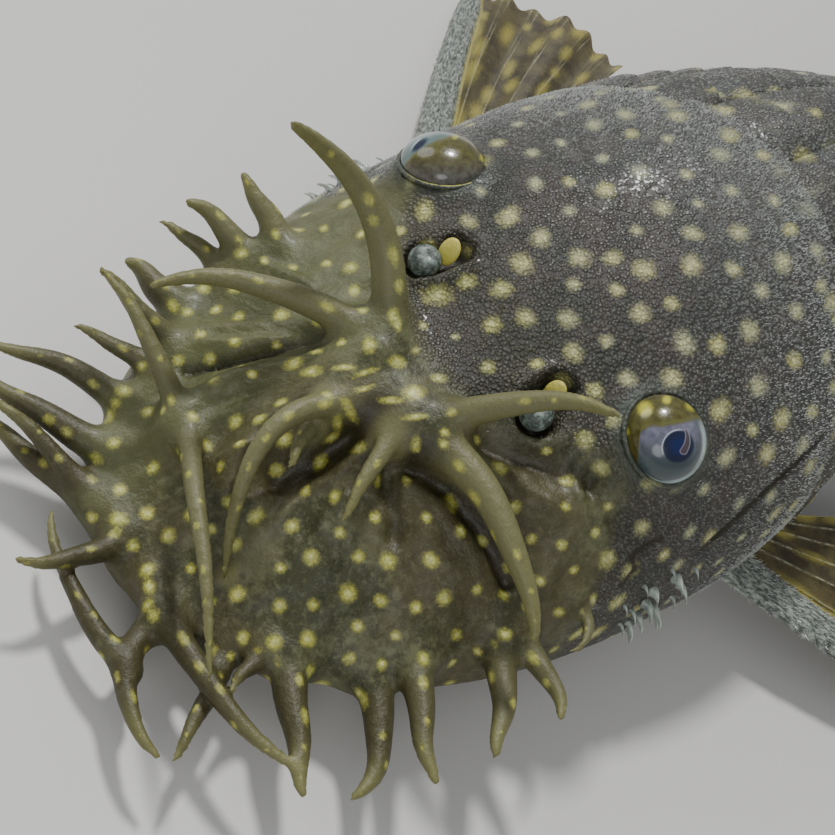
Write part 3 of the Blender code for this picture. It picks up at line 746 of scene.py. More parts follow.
def pointNormals(points, faces):
    # The sum of the cross products of the diagonals of the faces round each point.
    cross = np.cross(points[faces[:, 2]] - points[faces[:, 0]], points[faces[:, 3]] - points[faces[:, 1]])
    total = np.stack(
        [
            sum(np.bincount(faces[:, k], cross[:, i], len(points)) for k in range(faces.shape[1]))
            for i in range(3)
        ],
        axis=-1,
    )
    return unit(total)


frontPoints, frontFaces = largestPart(*surfaceNet(*frontField()))
frontPoints = relaxed(frontPoints, frontFaces, net["smoothing"])
frontPoints[:, 2] = np.maximum(frontPoints[:, 2], 0)
frontNormals = pointNormals(frontPoints, frontFaces)
tell(f"front of the skin: {len(frontFaces)} quads")


def tentacleMasks(points):
    # How near each point is to a tentacle's own surface, how far along that tentacle it lies, and
    # how deep in the shade beside one.
    mask = np.zeros(len(points))
    along = np.zeros(len(points))
    shade = np.zeros(len(points))
    for path, radii, _ in tentacles:
        low, high = path.min(axis=0) - 2.6, path.max(axis=0) + 2.6
        near = np.flatnonzero(((points > low) & (points < high)).all(axis=1))
        gap, share = chainDistance(points[near].T, path, radii)
        value = (1 - smoothstep(gap, 0.10, 0.9)) * smoothstep(share, 0.10, 0.3)
        better = value > mask[near]
        mask[near[better]] = value[better]
        along[near[better]] = share[better]
        beside = (1 - smoothstep(gap, 0.15, 1.9)) * smoothstep(share, 0.12, 0.35)
        shade[near] = np.maximum(shade[near], beside)
    return mask, along, shade * (1 - mask)


frontTentacle, frontAlong, frontShade = tentacleMasks(frontPoints)

# The rear of the skin

trunk = dict(
    firstStation=35.0,
    lastStation=103.6,
    step=0.8,
    girthStep=4.0,
    plateBounds=(-22.0, 8.0, 30.0, 50.0, 70.0, 90.0),
    plateStart=39.5,
    plateEnd=99.7,
    platePitch=2.62,
    underPlates=0.22,
)


def rearSkin():
    # The body's surface from inside the head to the tail's root, a little lower under the
    # plates; past the last plates the half width closes as the root of 1 - t^2.
    stations = np.arange(trunk["firstStation"], trunk["lastStation"], trunk["step"])
    girths = np.arange(-90, 270, trunk["girthStep"])
    fromBack = np.abs(90 - girths)
    plated = 1 - smoothstep(fromBack, 106, 116)
    x = bodySurface(stations[:, None], girths[None, :])[..., 0]
    edge = shieldEdge(x)
    grow = -trunk["underPlates"] * plated[None, :] - 0.8 * (
        1 - smoothstep(stations[:, None], edge - 1.2, edge + 1.2)
    )
    rings = bodySurface(stations[:, None], girths[None, :], grow)
    closing = np.clip((stations - trunk["plateEnd"]) / 4.2, 0, 1)
    rings[..., 0] *= np.sqrt(1 - closing**2)[:, None]
    rings[..., 2] = 7.4 + (rings[..., 2] - 7.4) * (1 - 0.25 * closing**2)[:, None]
    rings[..., 2] = np.maximum(rings[..., 2], 0)
    return closedRings(bend(rings)[:, ::-1])


rearPoints, rearFaces = rearSkin()
tell("rear of the skin")


def plateGrids():
    # Each plate is a pillow: over its own share a along and b across, the surface rises to the
    # rear edge as a^1.5, keeled along its middle, and dips below the skin all round its border.
    bounds = np.array(trunk["plateBounds"])
    along = np.array([0.0, 0.06, 0.2, 0.4, 0.6, 0.78, 0.9, 0.97, 1.0])
    across = np.array([0.0, 0.05, 0.2, 0.38, 0.5, 0.62, 0.8, 0.95, 1.0])
    a, b = np.meshgrid(along, across, indexing="ij")
    parts = []
    tones = []
    for side in (1, -1):
        for row in range(len(bounds) - 1):
            middle = (bounds[row] + bounds[row + 1]) / 2
            edge = shieldEdge(bodySurface(trunk["plateStart"], middle)[0]) - net["edgeStation"]
            first = trunk["plateStart"] + float(edge) - 0.5
            for start in np.arange(first, trunk["plateEnd"] - 2.4, trunk["platePitch"]):
                arch = 1.1 * (1 - (2 * b - 1) ** 2)
                s = start + (trunk["platePitch"] + 0.55) * a + arch * a
                low, high = bounds[row] - 0.6, bounds[row + 1] + 0.6
                girth = low + (high - low) * b
                border = np.minimum(1, 9 * np.minimum(b, 1 - b)) * np.minimum(1, 14 * (1 - a))
                lift = 0.02 + 0.34 * a**1.4 + 0.10 * np.exp(-(((b - 0.5) / 0.16) ** 2)) * a
                grow = -0.45 + (lift + 0.45) * border**0.5 * np.minimum(1, 0.25 + 5 * a)
                top = bodySurface(s, np.where(side > 0, girth, 180 - girth), grow)
                under = bodySurface(s, np.where(side > 0, girth, 180 - girth), -0.6)
                grid = np.stack([top, under])
                parts.append(grid)
                tones.append(dice.uniform(0, 1))
    return np.array(parts), np.array(tones)


def plateMesh():
    # Top and under sheets of every plate, joined round the border by a strip of quads.
    grids, tones = plateGrids()
    total, _, n, m, _ = grids.shape
    block = slabFaces(n, m)
    half = total // 2
    faces = []
    for which, turn in ((range(half), -1), (range(half, total), 1)):
        first = np.array(which)[:, None, None] * 2 * n * m
        faces.append((block[None, :, ::turn] + first).reshape(-1, 4))
    return bend(grids.reshape(-1, 3)), np.concatenate(faces), np.repeat(tones, 2 * n * m)


platePoints, plateFaces, plateTones = plateMesh()
plateNormals = pointNormals(platePoints, plateFaces)
tell(f"plates: {len(plateFaces)} quads")

# The spots

spotting = dict(
    snoutSpacing=1.62,
    headSpacing=1.98,
    trunkSpacing=2.4,
    snoutRadius=(0.26, 0.42),
    headRadius=(0.36, 0.62),
    trunkRadius=(0.42, 0.75),
    tentacleSpacing=1.8,
    tentacleRadius=(0.20, 0.29),
    tentacleStretch=1.35,
    crownStretch=3.4,
    # Spots given one by one: x, station and z of both ends, half width
    placed=(
        (-3.1, 16.8, 14.8, -2.9, 17.1, 14.9, 0.60),
        (-2.8, 18.4, 15.7, -2.7, 18.7, 15.8, 0.42),
        (4.8, 20.0, 15.4, 4.9, 20.3, 15.4, 0.50),
        (-1.73, 9.27, 13.2, -1.07, 9.92, 13.9, 0.18),
        (-0.55, 9.73, 13.8, -0.30, 11.05, 14.2, 0.15),
        (0.15, 9.25, 13.7, 0.38, 10.21, 13.9, 0.16),
        (0.27, 8.49, 13.5, 1.33, 8.94, 12.4, 0.26),
        (2.75, 10.83, 13.9, 3.23, 11.77, 14.3, 0.18),
        (0.85, 8.19, 12.5, 0.85, 8.75, 11.1, 0.25),
        (-0.49, 7.96, 13.5, -0.28, 8.03, 13.5, 0.25),
        (1.26, 10.27, 13.7, 1.75, 10.97, 14.0, 0.20),
        (1.75, 11.76, 14.3, 1.79, 12.11, 14.3, 0.45),
        (-0.36, 12.11, 14.4, -0.26, 12.48, 14.4, 0.34),
        (-2.03, 11.5, 14.5, -1.61, 11.18, 14.6, 0.36),
        (-2.69, 8.58, 12.0, -2.26, 8.82, 12.5, 0.32),
        (-3.67, 9.52, 12.2, -3.36, 9.73, 12.6, 0.18),
        (2.1, 8.99, 11.0, 2.44, 9.09, 11.5, 0.34),
        (4.0, 10.8, 13.4, 4.26, 10.72, 13.0, 0.27),
    ),
)


def scattered(points, spacing, limit):
    # Points taken in random order, each kept if none kept so far lies nearer than its spacing.
    order = dice.permutation(len(points))[:limit]
    kept = np.empty((0, 3))
    chosen = []
    for i in order:
        if not len(kept) or ((kept - points[i]) ** 2).sum(axis=1).min() > spacing[i] ** 2:
            kept = np.vstack([kept, points[i]])
            chosen.append(i)
    return np.array(chosen)


def bareBrow(points):
    # Share of the blue-grey patch behind the crown, a bell along and across it.
    station = points[:, 1] + body["originStation"]
    return np.exp(-((points[:, 0] / 4.0) ** 2) - ((station - 15.8) / 2.2) ** 2)


def spotList():
    # Rows of centre (3), radius, stretch axis (3), stretch and tone.
    rows = []
    station = frontPoints[:, 1] + body["originStation"]
    flesh = fleshShare(frontPoints[:, 0], station)
    placed = np.array(spotting["placed"])
    first, last = (placed[:, i : i + 3] - (0, body["originStation"], 0) for i in (0, 3))
    middles = np.array([frontPoints[((frontPoints - p) ** 2).sum(axis=1).argmin()] for p in (first + last) / 2])
    half = np.linalg.norm(last - first, axis=1) / 2
    rows.append(
        np.column_stack([middles, placed[:, 6], unit(last - first), 1 + half / placed[:, 6]])
    )
    clear = np.min([np.linalg.norm(frontPoints - p, axis=1) for p in middles], axis=0) > 1.25
    clear &= np.linalg.norm(frontPoints - bodySurface(crown["station"] - 1.4, 90), axis=1) > 3.0
    open_ = np.flatnonzero((frontTentacle < 0.3) & (frontPoints[:, 2] > 1.6) & clear)
    spacing = spotting["headSpacing"] + (spotting["snoutSpacing"] - spotting["headSpacing"]) * flesh
    spacing = spacing * dice.uniform(0.88, 1.15, len(spacing))
    chosen = open_[scattered(frontPoints[open_], spacing[open_], 9000)]
    soft = flesh[chosen][:, None]
    limits = (
        np.array(spotting["headRadius"]) * (1 - soft) + np.array(spotting["snoutRadius"]) * soft
    )
    radius = limits[:, 0] + (limits[:, 1] - limits[:, 0]) * dice.uniform(0, 1, len(chosen)) ** 1.3
    outwards = frontPoints[chosen] - bodySurface(crown["station"], 90)
    near = np.exp(-((np.linalg.norm(outwards, axis=1) / 4.2) ** 2))
    axis = unit(unit(outwards) + 0.5 * dice.normal(size=(len(chosen), 3)) * (1 - near[:, None]))
    stretch = dice.uniform(1.0, 1.3, len(chosen)) + (spotting["crownStretch"] - 1) * near * soft[:, 0]
    radius = radius * (1 - 0.30 * near) * (1 - 0.42 * bareBrow(frontPoints[chosen]))
    rows.append(np.column_stack([frontPoints[chosen], radius, axis, stretch]))
    top = platePoints[platePoints[:, 2] > 1.0]
    spacing = spotting["trunkSpacing"] * dice.uniform(0.85, 1.2, len(top))
    chosen = scattered(top, spacing, 9000)
    radius = dice.uniform(*spotting["trunkRadius"], len(chosen))
    axis = np.tile([0.0, 1.0, 0.0], (len(chosen), 1))
    rows.append(np.column_stack([top[chosen], radius, axis, dice.uniform(1, 1.3, len(chosen))]))
    for path, radii, blend in tentacles:
        length = np.concatenate([[0], np.cumsum(np.linalg.norm(np.diff(path, axis=0), axis=1))])
        first = 3.4 if blend == tentacleShape["crownBlend"] else 1.6
        at = np.arange(first + dice.uniform(0, 0.8), length[-1] - 0.3, spotting["tentacleSpacing"])
        at = at + dice.uniform(-0.35, 0.35, len(at))
        centre = np.stack([np.interp(at, length, path[:, i]) for i in range(3)], axis=-1)
        ahead = np.stack([np.interp(at + 0.2, length, path[:, i]) for i in range(3)], axis=-1)
        thick = np.interp(at, length, radii)
        heading = unit(ahead - centre + 1e-6)
        lean = dice.normal(scale=0.45, size=(len(at), 3)) + (0.1, -0.35, 0.9)
        across = unit(lean - (lean * heading).sum(axis=1)[:, None] * heading)
        radius = dice.uniform(*spotting["tentacleRadius"], len(at)) * np.clip(thick / 0.7, 0.5, 1.2)
        stretch = spotting["tentacleStretch"] * dice.uniform(0.8, 1.3, len(at))
        rows.append(
            np.column_stack([centre + thick[:, None] * across, radius, heading, stretch])
        )
    rows = np.concatenate(rows)
    return np.column_stack([rows, dice.uniform(0, 1, len(rows))])


def nearestSpot(points, spots):
    # For each point, the least distance to a spot over that spot's radius, with what lies along
    # the spot's axis divided by its stretch, and the tone of that spot.
    order = np.argsort(points[:, 1])
    gap = np.full(len(points), 4.0)
    tone = np.zeros(len(points))
    for chunk in np.array_split(order, len(points) // 1500 + 1):
        y = points[chunk, 1]
        near = spots[(spots[:, 1] > y.min() - 3) & (spots[:, 1] < y.max() + 3)]
        if not len(near):
            continue
        delta = points[chunk][:, None] - near[None, :, :3]
        along = (delta * near[None, :, 4:7]).sum(axis=-1)
        square = (delta**2).sum(axis=-1) - along**2 * (1 - 1 / near[:, 7] ** 2)
        ratio = np.sqrt(np.maximum(square, 0)) / near[:, 3]
        best = ratio.argmin(axis=1)
        gap[chunk] = np.minimum(ratio[np.arange(len(chunk)), best], 4)
        tone[chunk] = near[best, 8]
    return gap, tone


spots = spotList()
tell(f"{len(spots)} spots")

# Materials


class Socket:
    # A node's output that sums and products turn into Math nodes.
    def __init__(self, tree, output):
        self.tree = tree
        self.output = output

    def node(self, kind, settings=None, inputs=None, output=0):
        # Makes any node: settings first, then a value or a link for each input.
        made = self.tree.nodes.new(kind)
        for key, value in (settings or {}).items():
            if key == "stops":
                ramp = made.color_ramp
                for place, colour in value[1:-1]:
                    ramp.elements.new(place).color = (*colour, 1)
                for element, (place, colour) in ((0, value[0]), (-1, value[-1])):
                    ramp.elements[element].position = place
                    ramp.elements[element].color = (*colour, 1)
            else:
                setattr(made, key, value)
        for key, value in (inputs or {}).items():
            if isinstance(value, Socket):
                self.tree.links.new(value.output, made.inputs[key])
            else:
                made.inputs[key].default_value = value
        return Socket(self.tree, made.outputs[output])

    def maths(self, operation, first, second=0.0):
        return self.node("ShaderNodeMath", {"operation": operation}, {0: first, 1: second})

    def __add__(self, other):
        return self.maths("ADD", self, other)

    __radd__ = __add__

    def __sub__(self, other):
        return self.maths("SUBTRACT", self, other)

    def __rsub__(self, other):
        return self.maths("SUBTRACT", other, self)

    def __mul__(self, other):
        return self.maths("MULTIPLY", self, other)

    __rmul__ = __mul__

    def __truediv__(self, other):
        return self.maths("DIVIDE", self, other)

    def step(self, low, high):
        # A smooth rise from 0 at low to 1 at high; low may be the greater.
        return self.node(
            "ShaderNodeMapRange",
            {"interpolation_type": "SMOOTHSTEP"},
            {"Value": self, "From Min": low, "From Max": high},
        )

    def mix(self, a, b):
        # The colour a where this is 0 and b where it is 1.
        a = (*a, 1) if isinstance(a, tuple) else a
        b = (*b, 1) if isinstance(b, tuple) else b
        return self.node("ShaderNodeMix", {"data_type": "RGBA"}, {0: self, 6: a, 7: b}, 2)

    def sine(self):
        return self.maths("SINE", self)

    def noise(self, size, detail=3.0, roughness=0.55):
        # Noise on this vector with features about size millimetres across.
        return self.node(
            "ShaderNodeTexNoise",
            {},
            {"Vector": self, "Scale": 1 / (size * millimetre), "Detail": detail, "Roughness": roughness},
        )

    def cells(self, size, output=0):
        # Cells about size millimetres across: output 0 is the distance from a cell's middle and
        # 1 a value of its own for each cell.
        return self.node(
            "ShaderNodeTexVoronoi", {}, {"Vector": self, "Scale": 1 / (size * millimetre)}, output
        )

    def attribute(self, name):
        return self.node("ShaderNodeAttribute", {"attribute_name": name}, {}, 2)

    def bump(self, height, strength, normal=None):
        # A bump of this height in millimetres over the surface.
        inputs = {"Height": height, "Strength": strength, "Distance": millimetre}
        if normal is not None:
            inputs["Normal"] = normal
        return self.node("ShaderNodeBump", {}, inputs)


def newMaterial(name, constants):
    # A Principled shader with its constants on its own sockets, and the object's coordinates.
    made = bpy.data.materials.new(name)
    made.use_nodes = True
    shader = made.node_tree.nodes["Principled BSDF"]
    for key, value in constants.items():
        shader.inputs[key].default_value = value
    tree = made.node_tree
    coordinates = tree.nodes.new("ShaderNodeTexCoord").outputs["Object"]

    def drive(**links):
        for key, value in links.items():
            tree.links.new(value.output, shader.inputs[key.replace("_", " ")])

    return made, Socket(tree, coordinates), drive


skinLook = dict(
    fleshDark=(0.037, 0.038, 0.013),
    fleshPale=(0.118, 0.120, 0.058),
    fleshBrown=(0.062, 0.050, 0.018),
    # paler green: painted light on the snout's right part, partly its own greener tone
    fleshGreenLit=(0.128, 0.138, 0.055),
    shade=(0.012, 0.009, 0.004),
    # near black: painted shade between the granules
    boneGapShade=(0.018, 0.017, 0.018),
    boneDark=(0.040, 0.043, 0.034),
    boneBrown=(0.080, 0.065, 0.054),
    boneOlive=(0.062, 0.058, 0.024),
    # pale grey: painted light on the shield's lit rear and right side, and each plate's own paler tone
    bonePaleAndLit=(0.130, 0.135, 0.130),
    # pale: the granules' own tips and painted glints on them
    boneGrainAndGlint=(0.300, 0.320, 0.290),
    belly=(0.42, 0.38, 0.27),
    snoutSpot=(0.60, 0.59, 0.060),
    spotCore=(0.74, 0.74, 0.36),
    headSpot=(0.44, 0.46, 0.32),
    headGold=(0.50, 0.48, 0.17),
    tentacle=(0.150, 0.147, 0.066),
    # dark: painted shade on the tentacles that lie low
    tentacleLowShade=(0.052, 0.046, 0.018),
    tentacleTip=(0.170, 0.165, 0.062),
    foldLine=(0.21, 0.22, 0.12),
    # near black: painted shade inside the nostrils' pits and the gaps between plates
    nostril=(0.020, 0.015, 0.007),
    lid=(0.066, 0.082, 0.064),
    lidLine=(0.52, 0.50, 0.06),
)
skinLayers = (
    "spotDistance", "spotTone", "flesh", "feeler", "along", "pit", "turn", "wrinkle", "lid", "edge",
    "shade", "golden",
)


def skinMaterial():
    made, place, drive = newMaterial(
        "spotted_skin",
        {
            "Coat Roughness": 0.15,
            "Coat IOR": 1.35,
            "Specular IOR Level": 0.35,
            "Subsurface Weight": 0.12,
            "Subsurface Radius": (1.0, 0.75, 0.35),
            "Subsurface Scale": 0.0006,
        },
    )
    look = skinLook
    spot, tone, flesh, feeler, along, pit, turn, wrinkle, lid, edge, shade, golden = (
        place.attribute(name) for name in skinLayers
    )
    coarse = place.noise(3.0, 3)
    grain = place.noise(0.45, 4, 0.65)
    fine = place.noise(0.14, 3, 0.6)
    sand = place.cells(0.23)
    bead = sand.step(0.72, 0.22)
    grit = place.cells(0.26, 1)
    patch = (coarse + (grain - 0.5) * 0.5).step(0.36, 0.66)
    line = (turn * 75 + coarse * 9 + grain * 3.0).sine().step(0.30, 1.0) * wrinkle * grain.step(0.35, 0.55)
    soft = patch.mix(look["fleshDark"], look["fleshPale"])
    soft = (place.noise(6.0, 2).step(0.42, 0.58) * 0.75).mix(soft, look["fleshBrown"])
    soft = (grain.step(0.48, 0.80) * 0.24 + fine.step(0.5, 0.8) * 0.26 + line * 0.35).mix(soft, look["foldLine"])
    # The snout paler and greener towards its right side: painted light on the side that faces the key light,
    # partly its own greener tone.
    across = place.node("ShaderNodeSeparateXYZ", {}, {0: place}, 0)
    soft = (across.step(0.001, -0.006) * (0.40 + coarse * 0.30)).mix(soft, look["fleshGreenLit"])
    bone = patch.mix(look["boneDark"], look["boneBrown"])
    bone = (golden * 0.8).mix(bone, look["boneOlive"])
    # Painted light: the shield paler towards its rear and right side by the edge layer, where the key light
    # falls; on the plates the same layer gives each plate a paler tone of its own.
    bone = (edge * 0.5).mix(bone, look["bonePaleAndLit"])
    # Painted shade between the granules and, on them, pale tips that are partly their own colour and partly
    # painted glints, more towards the lit rear and right side.
    bone = ((1 - bead) * 0.5).mix(bone, look["boneGapShade"])
    bone = (bead * grit.step(0.25, 0.95) * (0.18 + edge * 0.45)).mix(bone, look["boneGrainAndGlint"])
    ground = flesh.mix(bone, soft)
    height = place.node("ShaderNodeSeparateXYZ", {}, {0: place}, 2)
    # Painted shade: the tentacles darker the nearer they lie to the floor, below about 11 mm.
    feelerColour = height.step(0.004, 0.011).mix(look["tentacleLowShade"], look["tentacle"])
    feelerColour = along.step(0.55, 1.0).mix(feelerColour, look["tentacleTip"])
    feelerColour = (grain.step(0.45, 0.75) * 0.3).mix(feelerColour, look["fleshPale"])
    ground = feeler.mix(ground, feelerColour)
    ground = (shade * 0.70).mix(ground, look["shade"])
    border = spot + (grit - 0.5) * (0.50 - flesh * 0.25) + (fine - 0.5) * (0.5 + flesh * 0.5)
    mark = border.step(1.50, 0.25) * (0.75 + tone * 0.25)
    colour = (golden * (1 - tone * 0.4)).mix(tone.mix(look["headSpot"], look["headGold"]), look["snoutSpot"])
    colour = (border.step(0.80, 0.15) * (1 - feeler * 0.6) * 0.6).mix(colour, look["spotCore"])
    ground = (mark * (0.70 + bead * 0.30) * (1 - feeler * 0.25)).mix(ground, colour)
    ground = lid.mix(ground, look["lid"])
    ground = (lid.step(0.75, 0.92) * grain.step(0.30, 0.50)).mix(ground, look["lidLine"])
    under = height.step(0.0016, 0.0004)
    ground = under.mix(ground, look["belly"])
    # Painted shade: near black inside the nostrils' pits and the gaps between plates.
    ground = pit.mix(ground, look["nostril"])
    studs = bead * (1 - flesh) * (1 - pit) * (1 - lid)
    texture = grain * 0.09 * flesh + studs * 0.09 + fine * 0.03 + line * 0.05
    drive(
        Base_Color=ground,
        Roughness=0.54 - grain * 0.12 - flesh * 0.05 - studs * 0.16,
        Coat_Weight=flesh * (0.02 + coarse * 0.06) * (1 - feeler * 0.7) + studs * grit.step(0.4, 0.9) * 0.5,
        Normal=place.bump(texture, 0.9),
    )
    return made


def layersFor(count, **given):
    # Every layer the skin's material reads, zero where none is given.
    return {name: given.get(name, np.zeros(count)) for name in skinLayers}


skinSurface = skinMaterial()


def pitDepth(points):
    # 1 inside the nostrils' pits and the gaps between plates, falling to 0 just past their rims; the skin is
    # painted near black there as shade.
    deep = np.zeros(len(points))
    for path, sizes in groovePaths:
        near = np.flatnonzero(((points > path.min(axis=0) - 1) & (points < path.max(axis=0) + 1)).all(axis=1))
        gap, _ = chainDistance(points[near].T, path, sizes)
        deep[near] = np.maximum(deep[near], 1 - smoothstep(gap, -0.02, 0.14))
    for side in (1, -1):
        for sideways, behind, radius, depth in nostrils["pits"]:
            centre = pitCentre(side, sideways, behind) - (0, 0, 0.4)
            gap = np.linalg.norm((points - centre) / (radius, radius, depth), axis=1)
            deep = np.maximum(deep, 1 - smoothstep(gap, 0.75, 1.08))
    return deep


def lidShare(points):
    # 1 on the ring round each eye, falling off as a bell of the distance from its circle.
    axis = unit(np.array(eyes["axis"]))
    share = np.zeros(len(points))
    for side in (1, -1):
        outward = axis * (side, 1, 1)
        centre = eyeCentre(side) + eyes["rimHeight"] * outward
        gap = ringField(points.T, centre, outward, eyes["rimRadius"] + 0.1, 0)
        share = np.maximum(share, 0.65 * np.exp(-((gap / 0.55) ** 2)))
    return share


def lidRing(side):
    # A torus round the eye's dome; its lid layer peaks along the inner upper side, where a thin
    # pale line runs, and most in front and below.
    outward = unit(np.array(eyes["axis"])) * (side, 1, 1)
    centre = eyeCentre(side) + eyes["rimHeight"] * outward
    first = unit(np.cross(outward, [0.0, 1.0, 0.0]))
    second = np.cross(outward, first)
    turn, around = np.meshgrid(
        np.arange(160) * 2 * np.pi / 160, np.arange(20) * 2 * np.pi / 20, indexing="ij"
    )
    radial = np.cos(turn)[..., None] * first + np.sin(turn)[..., None] * second
    across = eyes["rimRadius"] + eyes["rimWidth"] * np.cos(around)
    points = centre + across[..., None] * radial + (eyes["rimWidth"] * np.sin(around))[..., None] * outward
    index = np.arange(turn.size).reshape(turn.shape)
    ahead = np.roll(index, -1, axis=0)
    faces = np.stack([index, ahead, np.roll(ahead, -1, axis=1), np.roll(index, -1, axis=1)], axis=-1)
    below = np.clip(radial @ (0.77, -0.30, -0.56), 0, 1) ** 0.5
    lid = 0.55 + eyes["lineStrength"][side] * below * np.exp(-(((around - 1.5) / 0.6) ** 2))
    return points.reshape(-1, 3), faces.reshape(-1, 4), lid.ravel()


def hollowShade(points):
    # How dark each hollow of the upper surface is: its depth times a bell across its line.
    share = np.zeros(len(points))
    for line, width, drop in hollows:
        near = np.exp(-((planDistance(points[:, 0], points[:, 1], line) / width) ** 2))
        share = np.maximum(share, np.minimum(1.2 * drop, 1) * near)
    return share * smoothstep(points[:, 2], 3, 5)


def wrinkleShare(points):
    # Faint lines over the whole snout away from the crown, and strong ones in a few patches.
    x, station = points[:, 0], points[:, 1] + body["originStation"]
    reach = np.hypot(x, station - crown["station"])
    share = 0.07 * np.ones(len(points))
    for across, along, size in wrinkles:
        share = share + 0.8 * np.exp(-(((x - across) / size) ** 2) - ((station - along) / size) ** 2)
    return np.minimum(share, 1) * smoothstep(reach, 2.8, 4.6) * smoothstep(points[:, 2], 2, 4)


def skinPiece():
    # The front, the rings of the lids and the rear in one mesh: the rear starts inside the head
    # and comes out behind the edge of its shield.
    rings = [lidRing(1), lidRing(-1)]
    points, faces = joined(
        [
            (frontPoints, [frontFaces]),
            *((ringPoints, [quads]) for ringPoints, quads, _ in rings),
            (rearPoints, rearFaces),
        ]
    )
    rest = np.zeros(len(points) - len(frontPoints))
    gap, tone = nearestSpot(points, spots)
    station = frontPoints[:, 1] + body["originStation"]
    flesh = fleshShare(frontPoints[:, 0], station) * smoothstep(frontPoints[:, 2], 0, 1)
    front = dict(
        flesh=np.maximum(flesh, frontTentacle),
        feeler=frontTentacle,
        along=frontAlong,
        pit=pitDepth(frontPoints),
        turn=crownTurn(frontPoints[:, 0], frontPoints[:, 1]),
        wrinkle=wrinkleShare(frontPoints) * flesh * (1 - frontTentacle),
        shade=np.maximum(0.4 * frontShade, hollowShade(frontPoints)) * (1 - frontTentacle),
        lid=lidShare(frontPoints),
        edge=edgeShare(frontPoints),
    )
    layers = {name: np.concatenate([values, rest]) for name, values in front.items()}
    ringLids = np.concatenate([lid for _, _, lid in rings])
    layers["lid"][len(frontPoints) : len(frontPoints) + len(ringLids)] = ringLids
    golden = 1 - smoothstep(points[:, 1] + body["originStation"], 15.0, 24.0)
    golden = golden * (1 - 0.75 * bareBrow(points))
    layers = layersFor(len(points), spotDistance=gap, spotTone=tone, golden=golden, **layers)
    piece = meshPiece("skin", points, faces, skinSurface, layers)
    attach(piece, "root")
    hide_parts("snout", "head", "trunk", "tail_stalk")
    tell(f"skin: {sum(len(part) * (part.shape[1] - 2) for part in faces)} triangles")


def edgeShare(points):
    # How near the right side and the rear edge of the head's shield a point lies, the rear less towards the
    # left.
    # It sets the odontodes' number and length, and painted light: skin and odontodes paler towards the rear
    # and right side, where the key light falls.
    station = points[:, 1] + body["originStation"]
    sides = smoothstep(-points[:, 0], 8, 15)
    rear = smoothstep(station, shieldEdge(points[:, 0]) - 16, shieldEdge(points[:, 0]) + 1)
    return np.maximum(sides * 0.6, rear * (1 - 0.35 * smoothstep(points[:, 0], 2, 11)))


skinPiece()


def platePiece():
    gap, tone = nearestSpot(platePoints, spots)
    layers = layersFor(len(platePoints), spotDistance=gap, spotTone=tone, edge=0.35 + 0.45 * plateTones)
    piece = meshPiece("plates", platePoints, [plateFaces], skinSurface, layers)
    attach(piece, "root")


platePiece()

# Cheek bristles
def bristleMaterial(name, colour, pale):
    # The skin's own spots show on the bristles that stand in them.
    made, place, drive = newMaterial(
        name,
        {
            "Roughness": 0.28,
            "Specular IOR Level": 0.5,
            "Coat Weight": 0.4,
            "Coat Roughness": 0.1,
            "Subsurface Weight": 0.2,
            "Subsurface Radius": (1.0, 0.9, 0.7),
            "Subsurface Scale": 0.0004,
        },
    )
    shade = place.noise(0.9, 2).step(0.35, 0.65)
    bright = place.attribute("edge")
    mark = place.attribute("spotDistance").step(1.35, 0.6)
    # Paler by the edge layer: painted light on the head's odontodes towards the shield's lit rear and right
    # side; a tone of their own on the trunk's, paler tips on the cheek bristles.
    ground = (shade * 0.4 + bright * 0.6).mix(colour, pale)
    ground = (mark * 0.7).mix(ground, skinLook["headSpot"])
    drive(Base_Color=ground, Normal=place.bump(place.noise(0.08, 2), 0.2))
    return made


cheeks = {
    # Station, girth angle, length, radius and lift of each bristle
    "cheek_left": (
        (24.2, 13.8, 1.6, 0.34, 0.25), (22.6, 13.6, 1.5, 0.34, 0.15), (22.4, 9.6, 1.5, 0.33, 0.0),
        (22.2, 5.6, 1.3, 0.30, -0.1), (22.1, 2.5, 1.1, 0.20, -0.2), (25.2, 8.5, 1.4, 0.24, 0.1),
        (23.5, 5.0, 1.7, 0.28, -0.1), (24.2, 1.5, 1.4, 0.22, -0.2), (21.6, 18.0, 1.0, 0.16, 0.3),
        (21.4, 9.5, 1.0, 0.17, 0.0), (23.6, 18.0, 0.9, 0.14, 0.3), (25.8, 13.0, 1.0, 0.16, 0.2),
        (21.2, 4.5, 0.9, 0.15, -0.1), (25.4, 3.5, 1.0, 0.16, -0.1), (20.6, 13.5, 0.7, 0.13, 0.1),
        (23.0, -2.5, 1.1, 0.18, -0.3),
    ),
    "cheek_right": (
        (21.6, 24.0, 1.5, 0.34, 0.5), (22.5, 22.0, 1.6, 0.36, 0.45), (20.7, 24.5, 1.3, 0.32, 0.5),
        (19.9, 24.0, 1.2, 0.28, 0.4), (23.4, 18.0, 1.7, 0.36, 0.35), (22.3, 14.0, 1.6, 0.34, 0.2),
        (21.0, 15.0, 1.5, 0.24, 0.2), (24.3, 12.0, 1.7, 0.27, 0.1), (22.8, 8.0, 1.6, 0.26, 0.0),
        (21.4, 7.0, 1.3, 0.22, 0.0), (20.0, 14.0, 1.0, 0.16, 0.2), (24.6, 6.0, 1.3, 0.21, -0.1),
        (23.3, 2.5, 1.3, 0.21, -0.2), (21.8, 1.5, 1.0, 0.17, -0.2), (19.4, 20.0, 0.8, 0.14, 0.3),
        (25.2, 16.5, 1.0, 0.16, 0.2),
    ),
}
cheekSurface = bristleMaterial("cheek_bristle", (0.090, 0.115, 0.095), (0.56, 0.63, 0.56))


